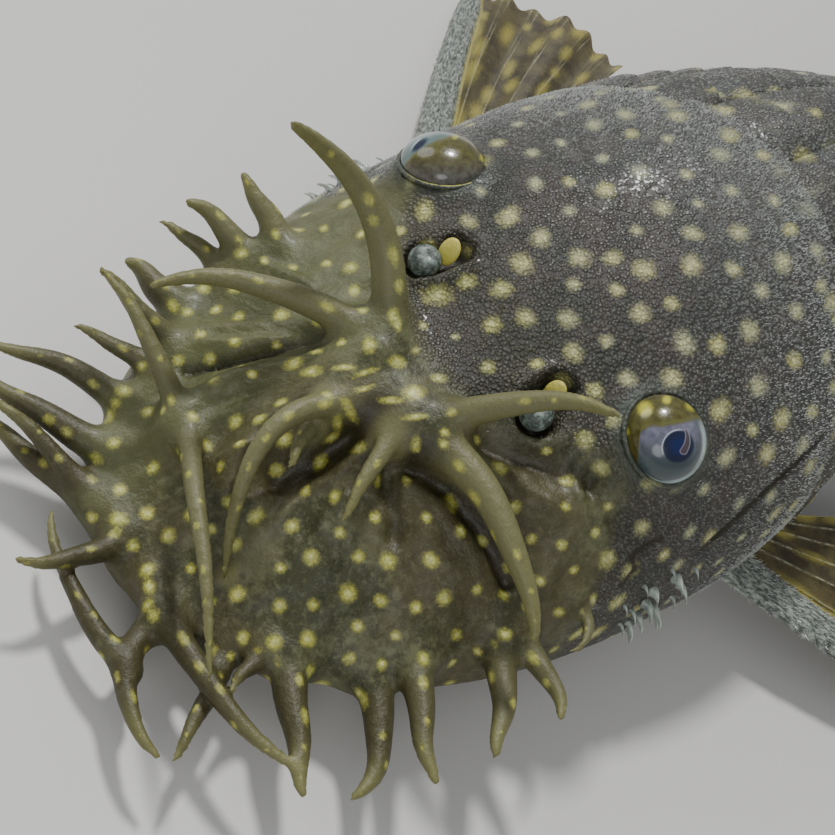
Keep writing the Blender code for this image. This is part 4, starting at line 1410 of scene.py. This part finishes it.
def cheekPiece(name, side):
    # Hooked spikes that leave outwards and a little back and curl forward as t^2.
    rows = np.array(cheeks[name])
    roots = bodySurface(rows[:, 0], rows[:, 1]) * (side, 1, 1)
    lift = rows[:, 4]
    outward = unit(np.column_stack([np.full(len(rows), side * 0.85), 0.7 + 0 * lift, 0.2 + lift]))
    hooks = np.column_stack([side * 0.15 + 0 * lift, -0.66 + 0 * lift, -0.45 - 0.3 * lift])
    hooks = hooks + dice.normal(scale=0.05, size=hooks.shape)
    points, faces = manySpikes(
        roots - 0.3 * outward, outward, hooks, 0.85 * rows[:, 2] + 0.25, 1.25 * rows[:, 3], 12, 12, 0.18
    )
    along = np.concatenate([np.repeat(np.arange(12) / 12, 12), [0, 1]])
    pale = (smoothstep(along, 0.15, 0.6) + 0.5 * (lift[:, None] - 0.3)).ravel()
    layers = {"spotDistance": np.full(len(points), 4.0), "edge": np.clip(pale, 0, 1)}
    piece = meshPiece(f"{name}_bristles", points, faces, cheekSurface, layers)
    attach(piece, "root")
    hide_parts(name)


cheekPiece("cheek_left", 1)
cheekPiece("cheek_right", -1)

# Eyes

studio = dict(
    cameraPlace=(27.672, -80.523, 73.172),
    cameraTurn=(36.966, -21.168, 53.305),
    lens=64.67,
    floorColour=(0.60, 0.59, 0.57),
    world=0.38,
    key=2.6,
    keyAngle=7.0,
)

# As seen from the camera, in the eye's radii from its middle, u to the right and v up: the
# pupil's middle, radii and lean, the finger that reaches into it, the iris flap's edge as
# (u, v) points with the side it covers, and yellow spots as (u, v, size).
gaze = dict(
    left=dict(
        pupil=(0.30, -0.16), radii=(0.37, 0.34), lean=60.0,
        finger=((0.46, 0.20), (0.41, -0.25)), fingerRadius=0.08, fingerBow=0.06,
        flap=((-1.0, -1.4), (-0.75, -1.1), (-0.58, -0.75), (-0.54, -0.1), (-0.42, 0.18), (-0.05, 0.26), (0.33, 0.33), (0.75, 0.44), (1.0, 0.5)),
        covers=1.0,
        spots=((-0.42, 0.66, 0.17), (0.60, 0.76, 0.15), (0.05, 0.86, 0.10), (-0.85, 0.15, 0.10)),
        arc=(-125, 35), low=(-0.65, 0.4), tint=0.0,
    ),
    right=dict(
        pupil=(-0.53, 0.42), radii=(0.27, 0.095), lean=42.0,
        finger=((-0.30, 1.2), (-0.30, 1.2)), fingerRadius=0.02, fingerBow=0.0,
        flap=((-1.0, -0.20), (-0.85, 0.02), (-0.35, 0.42), (0.08, 0.60), (0.45, 0.72), (1.0, 0.9)),
        covers=-1.0,
        spots=((0.78, 0.60, 0.14), (0.97, 0.12, 0.10), (0.30, 0.62, 0.08), (-0.86, -0.45, 0.09)),
        arc=(100, 170), low=(-0.45, 0.25), tint=1.0,
    ),
)


def eyeMaterial():
    made, place, drive = newMaterial(
        "wet_eye",
        {
            "Coat Weight": 0.8,
            "Coat Roughness": 0.05,
            "Coat IOR": 1.34,
            "Roughness": 0.25,
            "Specular IOR Level": 0.3,
            "Subsurface Weight": 0.08,
            "Subsurface Scale": 0.0005,
        },
    )
    pupil, finger, line, flap, limb, spot, arc, low, tint = (
        place.attribute(name) for name in eyeLayers
    )
    grain = place.noise(0.40, 4, 0.6)
    fine = place.noise(0.12, 3)
    iris = grain.step(0.3, 0.7).mix((0.105, 0.105, 0.150), (0.205, 0.200, 0.270))
    iris = (1 - low).mix(iris, (0.045, 0.066, 0.070))
    iris = tint.mix(iris, (0.125, 0.200, 0.190))
    iris = (limb.step(0.70, 0.95) * (1 - tint * 0.6) * 0.8).mix(iris, (0.050, 0.070, 0.070))
    # A pale band along part of the dome's rim: on the left eye a painted highlight at the cornea's edge, on the
    # right eye the pale edge of its teal iris.
    iris = (arc * limb.step(0.86, 0.95) * (1 - tint * 0.7)).mix(iris, (0.40, 0.50, 0.50))
    eye = pupil.step(0.02, -0.05).mix(iris, (0.006, 0.012, 0.040))
    eye = (pupil.step(-0.08, -0.26) * (1 - tint)).mix(eye, (0.003, 0.014, 0.080))
    ring = pupil.node("ShaderNodeMath", {"operation": "ABSOLUTE"}, {0: pupil})
    inner = finger.node("ShaderNodeMath", {"operation": "ABSOLUTE"}, {0: finger})
    eye = (ring.step(0.020, 0.004) * line).mix(eye, (0.42, 0.48, 0.54))
    eye = finger.step(0.02, -0.02).mix(eye, (0.062, 0.050, 0.060))
    eye = (inner.step(0.020, 0.003) * 0.6).mix(eye, (0.30, 0.27, 0.34))
    skin = grain.step(0.25, 0.75).mix((0.052, 0.046, 0.009), (0.105, 0.098, 0.022))
    low = low + (grain - 0.5) * 0.6
    pale = grain.step(0.3, 0.7).mix((0.075, 0.068, 0.058), (0.170, 0.165, 0.165))
    skin = ((1 - low) * (0.3 + tint * 0.6)).mix(skin, tint.mix((0.050, 0.036, 0.012), pale))
    skin = (spot + (fine - 0.5) * 0.7 + (grain - 0.5) * 0.5).step(1.35, 0.4).mix(skin, (0.48, 0.46, 0.05))
    cover = (flap + (grain - 0.5) * 0.12).step(-0.05, 0.07)
    rim = cover * flap.step(0.14, 0.04) * 0.45
    colour = rim.mix(cover.mix(eye, skin), (0.15, 0.15, 0.05))
    drive(Base_Color=colour, Normal=place.bump(cover * 0.05 + grain * cover * 0.03, 0.6))
    return made


eyeLayers = ("pupil", "finger", "lineShare", "flap", "limb", "eyeSpot", "arc", "low", "tint")
eyeSurface = eyeMaterial()


def fingerGap(u, v, ends, radius, bow):
    # The distance from a bowed stretch between two (u, v) ends, less a radius that grows to its full
    # size at the second.
    a, b = (np.array(end) for end in ends)
    step = b - a
    t = np.clip(((u - a[0]) * step[0] + (v - a[1]) * step[1]) / max(step @ step, 1e-6), 0, 1)
    aside = u - a[0] - t * step[0] - bow * 4 * t * (1 - t)
    return np.hypot(aside, v - a[1] - t * step[1]) - radius * (0.35 + 0.65 * t)


def eyePiece(name, side, view):
    # A sphere on a grid of two angles about the line to the camera, pressed flatter above its
    # equator, its markings laid out in u and v as distances across that line in the eye's radii.
    polar, turn = np.meshgrid(np.linspace(0, np.pi, 72)[1:-1], np.arange(110) * 2 * np.pi / 110, indexing="ij")
    centre = eyeCentre(side)
    axis = unit(np.array(studio["cameraPlace"]) - centre)
    right, up, _ = np.array(cameraAxes()).T
    up = unit(up - (up @ axis) * axis)
    across = np.cross(up, axis)
    normal = (
        np.cos(polar)[..., None] * axis
        + (np.sin(polar) * np.cos(turn))[..., None] * across
        + (np.sin(polar) * np.sin(turn))[..., None] * up
    )
    points, faces = closedRings(centre + eyes["radius"] * normal)
    outward = unit(np.array(eyes["axis"])) * (side, 1, 1)
    press = eyes["domeHeight"][side] / eyes["radius"]
    height = np.maximum((points - centre) @ outward, 0)
    normal = unit(points - centre + ((1 / press - 1) * height)[:, None] * outward)
    points = points - ((1 - press) * height)[:, None] * outward
    u, v = (points - centre) @ across / eyes["radius"], (points - centre) @ up / eyes["radius"]
    facing = normal @ axis
    behind = facing < 0
    lean = math.radians(view["lean"])
    du, dv = u - view["pupil"][0], v - view["pupil"][1]
    long = (du * math.cos(lean) + dv * math.sin(lean)) / view["radii"][0]
    short = (dv * math.cos(lean) - du * math.sin(lean)) / view["radii"][1]
    pupilGap = (np.hypot(long, short) - 1) * min(view["radii"])
    spotU, spotV, size = (np.array(column)[:, None] for column in zip(*view["spots"]))
    low, high = (math.radians(angle) for angle in view["arc"])
    bearing = np.arctan2(v, u)
    values = (
        pupilGap,
        fingerGap(u, v, view["finger"], view["fingerRadius"], view["fingerBow"]),
        smoothstep(np.cos(np.arctan2(dv, du) - 2.5), 0.2, 0.8),
        view["covers"] * (v - smoothCurve(*zip(*view["flap"]), u)),
        np.maximum(np.sqrt(1 - np.clip(facing, 0, 1) ** 2), 1 - smoothstep(height, 0.0, 0.5)),
        (np.hypot(u - spotU, v - spotV) / size).min(axis=0),
        smoothstep(bearing, low, low + 0.4) * (1 - smoothstep(bearing, high - 0.4, high)),
        smoothstep(v, *view["low"]),
        np.full(len(points), view["tint"]),
    )
    away = (1.0, 1.0, 0.0, 1.0, 1.0, 4.0, 0.0, 0.0, 0.0)
    layers = {
        layer: np.where(behind, other, value) for layer, value, other in zip(eyeLayers, values, away)
    }
    piece = meshPiece(f"{name}_dome", points, faces, eyeSurface, layers)
    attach(piece, "root")
    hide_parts(name)


def cameraAxes():
    # The camera's right, up and backward directions as the columns of its turn.
    turn = [math.radians(angle) for angle in studio["cameraTurn"]]
    return Euler(turn, "XYZ").to_matrix()


eyePiece("eye_left", 1, gaze["left"])
eyePiece("eye_right", -1, gaze["right"])

flaps = dict(
    # Sideways and backward place, height, radii, lean back, and how yellow it is
    valve=((0.05, -0.85), 0.05, (0.98, 0.94, 0.85), 0.15, 0.0),
    leaf=((-0.30, 0.38), 0.18, (0.66, 0.30, 0.90), 0.25, 1.0),
)


def flapMaterial():
    made, place, drive = newMaterial(
        "nostril_flap", {"Coat Weight": 0.12, "Coat Roughness": 0.2, "Roughness": 0.45}
    )
    shade = place.noise(0.45, 5, 0.65).step(0.40, 0.64)
    ground = shade.mix((0.040, 0.055, 0.045), (0.20, 0.25, 0.22))
    yellow = place.attribute("yellow")
    ground = yellow.mix(ground, (0.62, 0.56, 0.11))
    drive(Base_Color=ground, Normal=place.bump(place.noise(0.2, 4) * 0.1, 0.8))
    return made


flapSurface = flapMaterial()


def nostrilFlap(name, side):
    # The round valve in the front pit and the leaf between the pits, each a dented ellipsoid
    # leant back by its height.
    polar, turn = np.meshgrid(np.linspace(0, np.pi, 30)[1:-1], np.arange(36) * 2 * np.pi / 36, indexing="ij")
    parts = []
    yellow = []
    for (sideways, behind), rise, radii, lean, share in flaps.values():
        z = radii[2] * np.cos(polar)
        x = radii[0] * np.sin(polar) * np.cos(turn)
        y = radii[1] * np.sin(polar) * np.sin(turn) + lean * z
        dent = 0.22 * np.exp(-(((x - 0.1) / 0.45) ** 2 + ((y + 0.1) / 0.45) ** 2)) * (1 - share)
        leaf = np.stack([x, y, z - dent], axis=-1)
        centre = pitCentre(side, sideways, behind) + (0, 0, rise)
        parts.append(closedRings(centre + leaf[:, ::-1]))
        yellow.append(np.full(len(parts[-1][0]), share))
    points, faces = joined(parts)
    piece = meshPiece(name, points, faces, flapSurface, {"yellow": np.concatenate(yellow)})
    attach(piece, "root")


nostrilFlap("nostril_flap_left", 1)
nostrilFlap("nostril_flap_right", -1)
tell("eyes and nostrils")

# Fins
finShape = dict(membrane=0.07, rayRoot=0.19, rayEdge=0.08, rows=64, perRay=14, spine=15, split=(0.58, 0.82))
# Each fin: roots and directions of its first and last ray as x, station, z, azimuth, rise (0 is
# to the left, 90 to the tail), lengths, rays, throw of the tips, half width and thickness of
# the leading spine at its root, and how bristly that spine is.
pectoral = dict(
    last=(14.8, 37.2, 5.0, 64, -2), lengths=(29.0, 27.5, 24.0, 18.5), rays=7, bow=(0.0, 4.0, -0.6),
    spine=(1.5, 0.62), spineTaper=0.38, bristly=1.0,
)
pelvic = dict(
    first=(9.6, 49.5, 0.8, 35, 0), last=(9.4, 53.5, 0.8, 70, 0), lengths=(17.0, 16.5, 14.0, 11.0),
    rays=6, bow=(0.0, 1.0, 0.0), spine=(0.6, 0.42), bristly=0.5,
)
fins = dict(
    pectoral_fin_left=dict(first=(14.2, 31.8, 4.4, 24, -4), side=1, **pectoral),
    pectoral_fin_right=dict(first=(14.3, 29.4, 4.4, 42, -4), side=-1, **pectoral),
    pelvic_fin_left=dict(side=1, **pelvic),
    pelvic_fin_right=dict(side=-1, **pelvic),
    dorsal_fin=dict(
        first=(0, 45.5, 20.5, 90, 55), last=(0, 67.5, 15.5, 90, 22), side=1,
        lengths=(24.0, 23.0, 19.5, 13.0), rays=8, bow=(0.0, 1.5, -0.8), spine=(0.6, 0.5), bristly=0.5,
    ),
    adipose_fin=dict(
        first=(0, 83.0, 12.0, 90, 42), last=(0, 90.0, 11.2, 90, 8), side=1,
        lengths=(7.5, 4.0, 2.5), rays=3, bow=(0.0, 0.0, 0.0), spine=(0.5, 0.42), bristly=0.5,
    ),
    anal_fin=dict(
        first=(0, 74.5, 3.8, 90, -17), last=(0, 79.0, 4.0, 90, -8), side=1,
        lengths=(10.0, 10.5, 9.0), rays=5, bow=(0.0, 0.0, 0.0), spine=(0.3, 0.28), bristly=0.0,
    ),
    tail_fin=dict(
        first=(0, 100.3, 3.5, 90, -5), last=(0, 100.3, 11.4, 90, 27), side=1,
        lengths=(31.0, 27.0, 25.0, 25.0, 27.5), rays=16, bow=(-2.0, 0.0, 0.0), spine=(0.45, 0.45),
        bristly=0.4,
    ),
)


def rayFrom(x, station, z, azimuth, rise, side):
    azimuth, rise = math.radians(azimuth), math.radians(rise)
    direction = np.array(
        [side * math.cos(azimuth) * math.cos(rise), math.sin(azimuth) * math.cos(rise), math.sin(rise)]
    )
    return mirrored((x, station, z), side), direction


def finSheet(fin, u, t):
    # The fin's middle surface: root(u) + reach(u) * t * heading(u) + t^2 * throw of the tips.
    firstRoot, firstWay = rayFrom(*fin["first"], fin["side"])
    lastRoot, lastWay = rayFrom(*fin["last"], fin["side"])
    at = np.clip(u, 0, 1)[:, None]
    roots = firstRoot * (1 - u[:, None]) + lastRoot * u[:, None]
    headings = unit(firstWay * (1 - at) + lastWay * at)
    reach = smoothCurve(np.linspace(0, 1, len(fin["lengths"])), fin["lengths"], at[:, 0])
    reach = reach * (1 - 0.045 * np.sin(np.pi * u * (fin["rays"] - 1)) ** 2)
    sheet = roots + (reach * t)[..., None] * headings
    return sheet + (t**2)[..., None] * np.array(fin["bow"]), reach


def finGrid(fin):
    # The spine's columns lie across the first ray's line and the membrane's follow from the
    # spine's edge. Half thickness: sqrt(1 - place^2) across the spine, and for the rest the
    # membrane or, where greater, a round ray about the line of each ray, which forks twice.
    rays, rows = fin["rays"], finShape["rows"]
    t = np.linspace(0, 1, rows)[:, None] ** 0.9
    across = np.linspace(-1, 1, finShape["spine"])[:-1]
    phase = np.linspace(0, rays - 1 + 0.12, finShape["perRay"] * (rays - 1) + 3)
    sheet, reach = finSheet(fin, phase / (rays - 1), t)
    spineWide, spineHigh = fin["spine"]
    taper = 1 - fin.get("spineTaper", 0.62) * t
    wide = spineWide * taper * np.sqrt(np.clip((1.02 - t) / 0.12, 0.2, 1))
    tangent = unit(np.gradient(sheet[:, 0], axis=0))
    inwards = finSheet(fin, np.array([0.02]), t)[0][:, 0] - sheet[:, 0]
    inwards = unit(inwards - (inwards * tangent).sum(axis=1)[:, None] * tangent)
    spine = sheet[:, :1] + (wide * across)[..., None] * inwards[:, None]
    sheet = sheet + (wide * np.clip(1 - phase, 0, 1))[..., None] * inwards[:, None]
    points = np.concatenate([spine, sheet], axis=1)
    spread = np.cumsum(np.linalg.norm(np.diff(sheet, axis=1, prepend=sheet[:, :1]), axis=-1), axis=1)
    sideways = np.concatenate([wide * across, wide + spread], axis=1)
    seam = np.exp(-(((sideways - wide - 0.07) / 0.13) ** 2))
    normal = unit(np.cross(np.gradient(points, axis=1), np.gradient(points, axis=0)))
    step = np.linalg.norm(np.gradient(sheet, axis=1), axis=-1) / np.gradient(phase)
    number = np.round(np.clip(phase, 0, rays - 1))
    gap = np.abs(phase - number)[None, :]
    for share, spread in zip(finShape["split"], (0.11, 0.06)):
        gap = np.abs(gap - spread * smoothstep(t, share, share + 0.35) * (number > 0.5))
    half = finShape["rayRoot"] + (finShape["rayEdge"] - finShape["rayRoot"]) * t
    beads = 1 + 0.2 * np.sin(2 * np.pi * reach * t / 0.75) * smoothstep(t, 0.15, 0.3)
    crest = np.sqrt(np.clip(1 - (gap * step / (half * 1.05)) ** 2, 0, 1)) * (number > 0.5)
    thickness = finShape["membrane"] + (half * beads - finShape["membrane"]) * crest
    round_ = np.sqrt(np.clip(1 - across**2, 0, 1)) * (1 + 0.10 * np.cos(3 * np.pi * across))
    thick = np.maximum(spineHigh * taper * round_, 0.03)
    thickness = np.concatenate([thick, thickness], axis=1) * np.clip((1 - t) / 0.05, 0.15, 1)
    thickness[:, -1] = 0.03
    phase = np.concatenate([0 * across, phase])
    crest = np.concatenate([round_ * np.ones_like(t), crest], axis=1)
    spine = np.concatenate([np.ones(len(across)), np.clip(1 - 30 * phase[len(across) :], 0, 1)])
    sway = 0.3 * np.sin(2 * np.pi * phase / 2.7) * np.clip(phase, 0, 1) * smoothstep(t, 0.1, 0.8)
    points = points + (sway * np.mean(fin["lengths"]) / 20)[..., None] * normal
    layers = dict(
        ray=crest,
        spine=spine * np.ones_like(t),
        seam=seam * smoothstep(t, 0.05, 0.15),
        sideways=sideways,
        run=reach[0] * t * np.ones_like(phase),
    )
    return points, normal, thickness, layers


def finMaterial():
    made, place, drive = newMaterial(
        "fin_membrane",
        {
            "Coat Roughness": 0.2,
            "Coat Weight": 0.15,
            "Roughness": 0.42,
            "Specular IOR Level": 0.35,
            "Subsurface Weight": 0.2,
            "Subsurface Radius": (1.0, 0.8, 0.4),
            "Subsurface Scale": 0.0006,
        },
    )
    ray = place.attribute("ray")
    spine = place.attribute("spine")
    spot = place.attribute("spotDistance")
    grain = place.noise(0.5, 4, 0.6)
    fine = place.noise(0.15, 3)
    grit = place.cells(0.22, 1)
    shade = place.noise(2.2, 3).step(0.35, 0.65)
    along = place.node(
        "ShaderNodeCombineXYZ",
        {},
        {0: place.attribute("sideways") * millimetre, 1: place.attribute("run") * (0.28 * millimetre)},
    )
    streak = along.noise(0.17, 3, 0.6)
    membrane = shade.mix((0.030, 0.022, 0.006), (0.080, 0.064, 0.020))
    membrane = (streak.step(0.52, 0.72) * 0.35).mix(membrane, (0.140, 0.125, 0.050))
    colour = (ray.step(0.45, 1.0) * 0.8).mix(membrane, (0.125, 0.115, 0.060))
    colour = (ray.step(0.8, 1.0) * grit.step(0.40, 0.60) * 0.6).mix(colour, (0.40, 0.40, 0.29))
    hard = (streak + (grain - 0.5) * 0.5).step(0.36, 0.68).mix((0.070, 0.084, 0.072), (0.33, 0.36, 0.31))
    colour = spine.mix(colour, hard)
    colour = (place.attribute("seam") * 0.8).mix(colour, (0.40, 0.35, 0.08))
    mark = (spot + (fine - 0.5) * 0.6 + (streak - 0.5) * 1.2).step(1.5, 0.1) * (1 - spine * 0.8)
    colour = (mark * 0.7).mix(colour, (0.36, 0.32, 0.06))
    bump = fine * 0.05 + grain * 0.04 + place.cells(0.2).step(0.5, 0.0) * spine * 0.08
    drive(Base_Color=colour, Normal=place.bump(bump, 0.8))
    return made


finSurface = finMaterial()
spineSheets = []


def finPiece(name, fin):
    points, normal, thickness, layers = finGrid(fin)
    spine = layers["spine"]
    n, m = thickness.shape
    upper = bend(points + thickness[..., None] * normal).reshape(-1, 3)
    lower = bend(points - thickness[..., None] * normal).reshape(-1, 3)
    flat, faces = np.concatenate([upper, lower]), slabFaces(n, m)
    middle = bend(points).reshape(-1, 3)
    open_ = np.flatnonzero(spine.ravel() < 0.5)
    chosen = open_[scattered(middle[open_], np.full(len(open_), 2.4), 1500)]
    heading = unit(np.gradient(bend(points), axis=0)).reshape(-1, 3)
    marks = np.column_stack(
        [
            middle[chosen],
            dice.uniform(0.38, 0.62, len(chosen)),
            heading[chosen],
            dice.uniform(1.8, 3.6, len(chosen)),
            dice.uniform(0, 1, len(chosen)),
        ]
    )
    spotGap, _ = nearestSpot(flat, marks)
    layers = {layer: np.tile(values.ravel(), 2) for layer, values in layers.items()}
    layers["spotDistance"] = spotGap
    layers["seam"] *= fin["bristly"]
    piece = meshPiece(f"{name}_membrane", flat, [faces], finSurface, layers)
    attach(piece, "root")
    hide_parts(name)
    spineSheets.append((flat, faces, np.tile(heading, (2, 1)), layers["spine"] * fin["bristly"]))


for finName, finDetails in fins.items():
    finPiece(finName, finDetails)
tell("fins")

# Odontodes: the fine bristles of the plated skin
bristles = dict(
    headCount=22000,
    trunkCount=14000,
    spineCount=7000,
    middle=(0.11, 0.17),  # lengths in the middle of the head
    edge=(0.15, 0.26),  # lengths at the shield's sides and rear
    spineLength=(0.22, 0.42),
    radius=0.046,
)


def onFaces(points, faces, normals, count, weights):
    # Random places on the faces, in proportion to their area and weight; also the face of each.
    a, b, c, d = (points[faces[:, k]] for k in range(4))
    area = np.linalg.norm(np.cross(c - a, d - b), axis=1) * weights[faces].mean(axis=1)
    which = dice.choice(len(faces), count, p=area / area.sum())
    u, v = dice.uniform(0, 1, (2, count, 1))
    place = (
        points[faces[which, 0]] * (1 - u) * (1 - v)
        + points[faces[which, 1]] * u * (1 - v)
        + points[faces[which, 2]] * u * v
        + points[faces[which, 3]] * (1 - u) * v
    )
    return place, normals[faces[which, 0]], faces[which, 0]


odontodeSurface = bristleMaterial("odontode_ivory", (0.095, 0.098, 0.090), (0.56, 0.59, 0.55))


def bakePlaces(roots, each):
    # Each bristle's patch, 0.003 wide, at its root's girth and station on the body unrolled.
    station = (roots[:, 1] + body["originStation"] + 5) / 140
    girth = np.arctan2(roots[:, 2] - 7, roots[:, 0]) / (2 * np.pi) + 0.5
    turn = np.arange(each) * 2 * np.pi / each
    patch = 0.0015 * np.column_stack([np.cos(turn), np.sin(turn)])
    return (np.column_stack([girth, station])[:, None] + patch[None]).reshape(-1, 2)


def bristlePiece(name, roots, normals, ways, lengths, bright):
    # Small cones that lean from the normal towards the way the skin lies; the spots of the skin
    # under them colour them too.
    scatter = dice.normal(scale=0.25, size=roots.shape)
    directions = unit(normals * 0.8 + (ways + scatter) * 0.65)
    radii = bristles["radius"] * dice.uniform(0.7, 1.2, len(roots)) * (0.7 + 0.5 * bright)
    points, faces = manySpikes(
        roots - 0.03 * normals, directions, -0.12 * normals, lengths, radii, 1, 3, 1.0
    )
    each = len(points) // len(roots)
    gap, _ = nearestSpot(roots, spots)
    layers = {"spotDistance": np.repeat(gap, each), "edge": np.repeat(bright, each)}
    piece = meshPiece(name, points, faces, odontodeSurface, layers, bakePlaces(roots, each), False)
    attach(piece, "root")


def lengthsFor(share):
    # Between the middle's and the edge's lengths by the share, each with its own chance.
    low = bristles["middle"][0] + (bristles["edge"][0] - bristles["middle"][0]) * share
    high = bristles["middle"][1] + (bristles["edge"][1] - bristles["middle"][1]) * share
    return dice.uniform(low, high)


def headBristles():
    station = frontPoints[:, 1] + body["originStation"]
    flesh = np.maximum(fleshShare(frontPoints[:, 0], station), frontTentacle)
    edge = shieldEdge(frontPoints[:, 0])
    shown = smoothstep(frontPoints[:, 2], 1.5, 3.0) * (1 - smoothstep(station, edge - 0.3, edge + 0.4))
    eyeGap = np.min(
        [np.linalg.norm(frontPoints - eyeCentre(side), axis=1) for side in (1, -1)], axis=0
    )
    # bright also paints light: the odontodes paler towards the shield's lit rear and right side.
    bright = edgeShare(frontPoints)
    weight = (1 - flesh) * shown * smoothstep(eyeGap, 2.9, 3.5) * (1 - pitDepth(frontPoints))
    weight = weight * (0.22 + 1.4 * bright)
    roots, normals, near = onFaces(frontPoints, frontFaces, frontNormals, bristles["headCount"], weight)
    ways = np.tile([0.0, 1.0, 0.0], (len(roots), 1))
    bristlePiece("odontodes_head", roots, normals, ways, lengthsFor(bright[near]), bright[near])


def trunkBristles():
    facing = (plateNormals * (platePoints - (0, 0, 7)) * (1, 0, 1)).sum(axis=1)
    weight = smoothstep(facing, 0, 0.5)
    parts = [onFaces(platePoints, plateFaces, plateNormals, bristles["trunkCount"], weight)]
    ways = [np.tile([0.0, 1.0, 0.0], (bristles["trunkCount"], 1))]
    lengths = [dice.uniform(*bristles["edge"], bristles["trunkCount"])]
    total = sum(weight.sum() for _, _, _, weight in spineSheets)
    for flat, faces, heading, weight in spineSheets:
        count = int(bristles["spineCount"] * weight.sum() / total)
        if count:
            parts.append(onFaces(flat, faces, pointNormals(flat, faces), count, weight))
            ways.append(heading[parts[-1][2]])
            lengths.append(dice.uniform(*bristles["spineLength"], count))
    roots, normals = (np.concatenate([part[k] for part in parts]) for k in (0, 1))
    bright = dice.uniform(0.3, 0.9, len(roots))
    bristlePiece("odontodes_rear", roots, normals, np.concatenate(ways), np.concatenate(lengths), bright)


headBristles()
trunkBristles()
tell("odontodes")

# Lips and barbels

lips = dict(station=9.0, halfWidth=9.6, halfLength=7.8, height=1.5, slot=(3.6, 1.0, 0.8), barbel=4.0)


def lipPiece():
    # A disc on polar rings with a rounded rim, its underside studded with papillae as a product
    # of waves round and outwards, and pressed in where the mouth opens.
    share = np.concatenate([np.linspace(0, 1, 34)[1:], np.ones(5), np.linspace(1, 0.0, 9)[1:-1]])
    level = np.concatenate([np.zeros(33), np.linspace(0, 1, 7)[1:-1], np.ones(7)])
    turn = np.arange(120) * 2 * np.pi / 120
    bulge = 1 + 0.05 * np.sin(np.pi * level) - 0.03 * (level == 0) * (share > 0.98)
    x = lips["halfWidth"] * (share * bulge)[:, None] * np.cos(turn)
    y = lips["halfLength"] * (share * bulge)[:, None] * np.sin(turn)
    bumps = np.sin(22 * share)[:, None] * np.sin(np.round(30 * share)[:, None] * turn)
    studs = 0.12 * np.abs(bumps) * (level[:, None] == 0) * (share[:, None] < 0.95)
    mouth = np.exp(-((x / lips["slot"][0]) ** 4 + ((y + 1.5) / lips["slot"][1]) ** 2))
    z = 0.12 - studs + level[:, None] * lips["height"] + lips["slot"][2] * mouth * (level[:, None] == 0)
    z = np.where(level[:, None] > 0, np.minimum(z, lips["height"] + 0.3), z)
    rings = np.stack([x, y + lips["station"] - body["originStation"], z], axis=-1)
    parts = [closedRings(rings[:, ::-1])]
    for side in (1, -1):
        t = np.linspace(0, 1, 20)[:, None]
        start = mirrored((lips["halfWidth"] - 1.6, lips["station"] - 1.5, 0.9), side)
        path = start + t * (side * 3.6, 1.2, 0.0) + t**2 * (side * -0.4, lips["barbel"] - 1.6, 0.1)
        around = np.arange(14) * 2 * np.pi / 14
        radius = 0.62 * (1 - t) ** 0.6 + 0.1
        tangent = unit(np.gradient(path, axis=0))
        flatUp = np.array([0.0, 0.0, 1.0])
        sideways = unit(np.cross(tangent, flatUp))
        ring = path[:, None] + radius[..., None] * (
            np.cos(around)[:, None] * sideways[:, None] + np.sin(around)[:, None] * flatUp
        )
        ring[..., 2] = np.maximum(ring[..., 2], 0.02)
        parts.append(closedRings(ring[:, ::-1]))
    points, faces = joined(parts)
    full = np.ones(len(points))
    layers = layersFor(len(points), spotDistance=4 * full, flesh=full)
    piece = meshPiece("lip_disc", points, faces, skinSurface, layers)
    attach(piece, "root")
    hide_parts("lips")


lipPiece()
tell("lips")

# Floor, lights and camera

def floorPiece():
    made, place, drive = newMaterial("studio_floor", {"Roughness": 0.6})
    shade = place.noise(40.0, 2).step(0.2, 0.8)
    dark = tuple(0.97 * part for part in studio["floorColour"])
    drive(Base_Color=shade.mix(dark, studio["floorColour"]))
    corners = np.array([[-1, -1], [1, -1], [1, 1], [-1, 1]]) * 1500.0
    points = np.column_stack([corners, np.full(4, -0.02)])
    meshPiece("floor", points, [np.array([[0, 1, 2, 3]])], made)


def softLight(name, place, target, size, power):
    light = bpy.data.lights.new(name, "AREA")
    light.shape = "DISK"
    light.size = size * millimetre
    light.energy = power
    aim(name, light, Vector(place) * millimetre, Vector(target) - Vector(place))


def keyLight(way):
    # One far light with a wide disc, so that the floor is lit alike to its edge.
    light = bpy.data.lights.new("key", "SUN")
    light.energy = studio["key"]
    light.angle = math.radians(studio["keyAngle"])
    aim("key", light, Vector((0, 0, 0.5)), Vector(way))


def aim(name, light, place, way):
    lamp = bpy.data.objects.new(name, light)
    lamp.location = place
    lamp.rotation_euler = way.to_track_quat("-Z", "Y").to_euler()
    bpy.context.scene.collection.objects.link(lamp)


def addCamera():
    camera = bpy.data.cameras.new("camera")
    camera.lens = studio["lens"]
    camera.sensor_width = 36.0
    camera.sensor_fit = "HORIZONTAL"
    camera.clip_start = 0.001
    rig = bpy.data.objects.new("camera", camera)
    rig.location = [part * millimetre for part in studio["cameraPlace"]]
    rig.rotation_euler = cameraAxes().to_euler()
    bpy.context.scene.collection.objects.link(rig)
    bpy.context.scene.camera = rig


floorPiece()
keyLight((0.46, -0.34, -0.82))
softLight("front", (220, -300, 240), (0, -20, 8), 220, 0.5)
softLight("side", (-330, -60, 220), (0, -10, 8), 200, 0.4)
addCamera()
world = bpy.data.worlds.new("studio")
world.use_nodes = True
world.node_tree.nodes["Background"].inputs["Color"].default_value = (0.95, 0.97, 1.0, 1)
world.node_tree.nodes["Background"].inputs["Strength"].default_value = studio["world"]
bpy.context.scene.world = world

bpy.context.view_layer.update()
tell("done")
